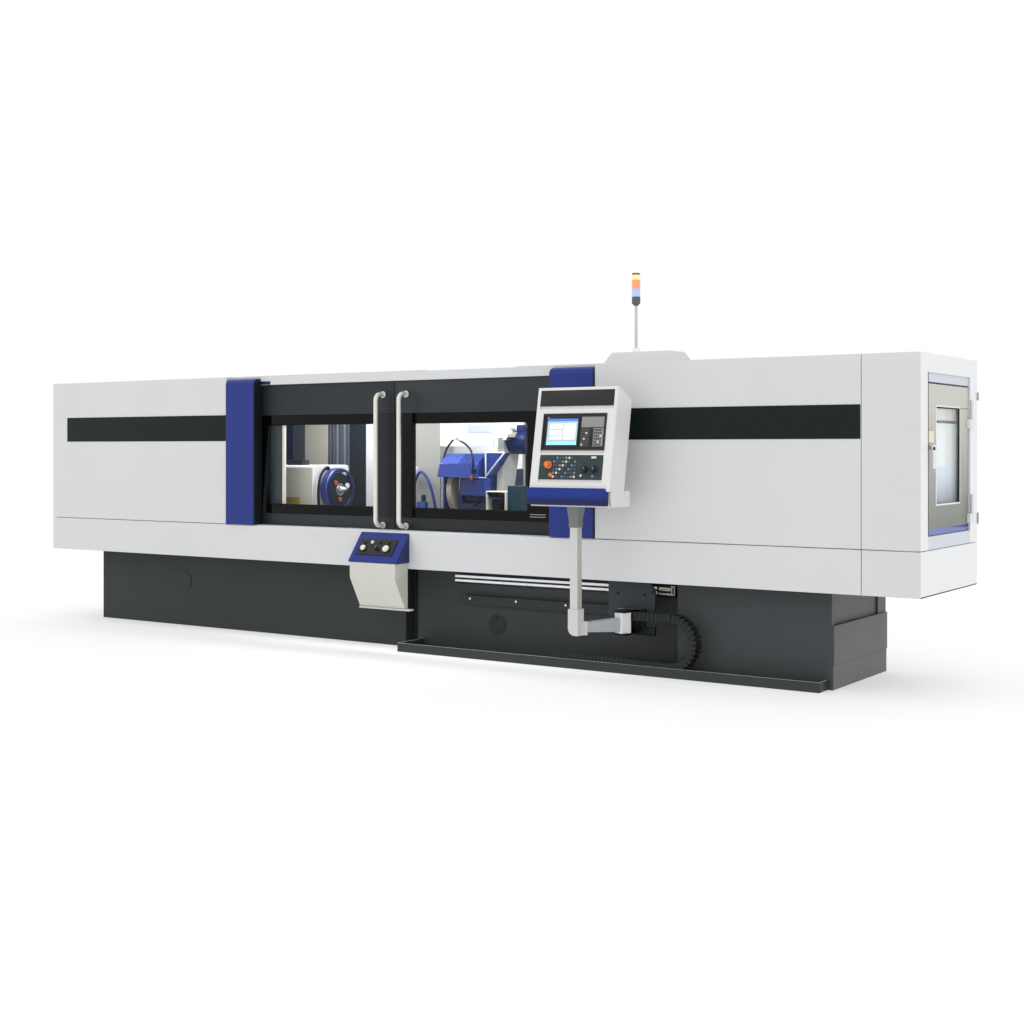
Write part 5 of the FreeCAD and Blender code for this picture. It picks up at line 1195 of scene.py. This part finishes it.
def make_liners():
    floor = 0.82
    ceiling = 1.80
    middle_y = 0.940
    post_y = 1.240
    for n, (x0, x1, material) in enumerate(((-1.880, -1.800, guard_deep), (-1.800, -1.675, liner_slate),
                                            (-1.675, -1.438, liner_beige), (-1.438, -1.228, liner_slate),
                                            (-1.228, -1.060, liner_dark), (-1.060, -0.950, liner_white),
                                            (-0.950, -0.363, liner_grey))):
        wall("liner_%d" % n, x0, x1, middle_y, floor, ceiling, material)
    folds = []
    for n in range(6):
        x = -1.415 + 0.036 * n
        folds.append(rod("fold", at(x, middle_y + 0.004, floor + 0.01),
                         at(x, middle_y + 0.004, ceiling - 0.01), 0.014,
                         curtain_light if n in (2, 4) else liner_slate, None, sides=20, soft=0))
    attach(join(folds, "curtain_folds"), "machine")
    wall("liner_upper", -0.363, 0.110, middle_y, 1.362, ceiling, liner_white)
    wall("liner_patch", -0.112, 0.090, middle_y - 0.004, 1.458, 1.515, liner_blue)
    wall("liner_rear", -0.80, 0.90, 1.700, floor, ceiling, liner_white)
    wall("liner_post", 0.158, 0.184, post_y, floor, ceiling, ivory_paint)
    wall("liner_post_side", 0.184, 0.212, post_y, floor, ceiling, liner_dark)


def make_work_details():
    block("headstock_box", at(-1.308, 0.340, 1.226), at(-1.161, 0.420, 1.262), liner_dark, "table",
          soft=0.004)
    block("headstock_tray", at(-1.282, 0.292, 0.944), at(-1.146, 0.300, 0.995), sump_ochre, "table")
    block("headstock_tray_red", at(-1.410, 0.292, 0.940), at(-1.312, 0.300, 0.990), brick_red, "table")
    hose_x = -0.984
    hose = [at(hose_x - 0.045, 0.322, 0.845), at(hose_x, 0.320, 0.885), at(hose_x, 0.316, 1.050),
            at(hose_x, 0.340, 1.150), at(hose_x, 0.395, 1.206), at(hose_x - 0.010, 0.440, 1.203),
            at(hose_x - 0.055, 0.455, 1.195)]
    pipe("headstock_hose", hose, 0.010, rubber_black, "table")
    y, z = middle("face_plate").yz
    front = centre_x - 0.937
    ring = [(0.118, 0), (0.152, 0), (0.152, 0.008), (0.146, 0.012), (0.122, 0.012), (0.118, 0.008),
            (0.118, 0)]
    disc = [(0.046, 0), (0.117, 0), (0.117, 0.003), (0.046, 0.003), (0.046, 0)]
    lathe("face_plate_ring", ring, (front, y, z), (1, 0, 0), guard_deep, "face_plate")
    lathe("face_plate_dark", disc, (front, y, z), (1, 0, 0), liner_dark, "face_plate")
    for n in range(3):
        angle = math.radians(20 + 120 * n)
        spot = Vector((front, y + 0.074 * math.cos(angle), z + 0.074 * math.sin(angle)))
        rod("face_plate_clamp_%d" % n, spot, spot + Vector((0.016, 0, 0)), 0.018,
            brick_red if n else liner_white, "face_plate", sides=28, soft=0.003)


def make_wheel_details():
    # Pale strips along the top and left edges of the nose and round the gusset: painted highlights.
    block("nose_edge_top", at(-0.022, 0.712, 1.140), at(0.203, 0.718, 1.148), guard_edge_painted_highlight, "wheelhead",
          soft=0.002)
    block("nose_edge_side", at(-0.027, 0.712, 1.060), at(-0.021, 0.718, 1.146), guard_edge_painted_highlight, "wheelhead",
          soft=0.002)
    corners = ((0.180, 1.150), (0.180, 1.318), (0.340, 1.318))
    rods = [rod("edge", at(x0, 0.744, z0), at(x1, 0.744, z1), 0.006, guard_edge_painted_highlight, None, sides=12, soft=0.001)
            for (x0, z0), (x1, z1) in zip(corners, corners[1:] + corners[:1])]
    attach(join(rods, "gusset_edge"), "wheelhead")
    block("motor_cap", at(0.215, 0.800, 1.424), at(0.335, 0.862, 1.502), ivory_paint, "wheelhead", soft=0.016,
          segments=5)
    block("drive_label_plate", at(0.225, 0.698, 1.000), at(0.350, 0.7005, 1.006), guard_blue, "wheelhead",
          soft=0.0005)
    rod("wheel_nozzle_tip", at(0.110, 0.668, 1.160), at(0.110, 0.668, 1.130), 0.010, brick_red, "wheelhead",
        sides=20)
    arch = [at(-0.574, 0.880, 0.880), at(-0.560, 0.880, 1.060), at(-0.500, 0.880, 1.175),
            at(-0.430, 0.880, 1.120), at(-0.375, 0.880, 0.980), at(-0.345, 0.880, 0.840)]
    pipe("hose_arch", arch, 0.011, guard_blue, "machine")
    rod("hose_cup", at(-0.560, 0.880, 1.150), at(-0.545, 0.880, 1.215), 0.034, liner_white, "machine",
        soft=0.006, top_radius=0.022)
    block("hose_block", at(-0.520, 0.860, 0.705), at(-0.440, 0.900, 0.960), guard_blue, "machine", soft=0.008)
    block("hose_block_valve", at(-0.480, 0.862, 0.960), at(-0.455, 0.898, 1.010), drive_teal, "machine",
          soft=0.006)


# Light, floor and camera

def make_stage():
    deselect()
    bpy.ops.mesh.primitive_plane_add(size=80, location=(0, 0, -0.0005))
    floor = bpy.context.object
    settle(floor)
    material, tree, shader, relief = start_material("studio_floor", 0.0, 0.01, specular=0.1)
    cloud = add(tree, "ShaderNodeTexNoise", {"Vector": object_place(tree), "Scale": 2.0})
    feed(tree, relief, {"Height": cloud.outputs["Fac"]})
    feed(tree, shader, {"Base Color": (0.62, 0.62, 0.62, 1), "Emission Color": (1, 1, 1, 1),
                        "Emission Strength": 0.41, "Roughness": 0.9})
    floor.name = "studio_floor"
    floor.data.materials.append(material)

    world = bpy.data.worlds.new("studio")
    world.use_nodes = True
    world.node_tree.nodes["Background"].inputs["Color"].default_value = (1, 1, 1, 1)
    world.node_tree.nodes["Background"].inputs["Strength"].default_value = 1.0
    bpy.context.scene.world = world
    bpy.context.scene.view_settings.view_transform = "Standard"

    def area(name, place, target, size, power):
        light = bpy.data.lights.new(name, "AREA")
        light.shape = "RECTANGLE"
        light.size = size[0]
        light.size_y = size[1]
        light.energy = power
        holder = new_object(name, light)
        holder.location = place
        aim = Vector(target) - Vector(place)
        holder.rotation_euler = aim.to_track_quat("-Z", "Y").to_euler()

    area("key_light", (-3.0, -7.5, 6.0), (0, 0, 0.9), (6, 4), 30)
    area("end_light", (9.0, -2.5, 4.0), (3.4, 0, 1.0), (4, 3), 20)
    area("chamber_light", at(-0.75, 0.45, 1.80), at(-0.75, 0.5, 0.8), (1.2, 0.4), 13)
    area("rear_light", at(-0.1, 1.40, 1.80), at(-0.1, 1.70, 1.2), (1.2, 0.2), 10)
    area("chamber_light_right", at(0.65, 0.45, 1.80), at(0.65, 0.6, 0.8), (1.2, 0.4), 15)


def make_camera():
    data = bpy.data.cameras.new("photo_camera")
    data.sensor_width = 36
    data.lens = 51.12
    data.shift_y = -0.0626
    data.clip_end = 200
    camera = new_object("photo_camera", data)
    camera.location = (centre_x + 5.989, front_y - 7.565, 1.351)
    camera.rotation_euler = (math.radians(90), 0, math.radians(33.92))
    bpy.context.scene.camera = camera


make_camera()
make_stage()
make_shell()
make_base()
make_rail()
make_doors()
make_end_door()
make_tower()
make_pendant()
make_screen_panel()
make_screen()
make_key_unit()
make_operator_panel()
make_pendant_controls()
make_arm()
make_carriage()
make_chain()
make_station()
make_chamber()
make_liners()
make_work_details()
make_wheel_details()
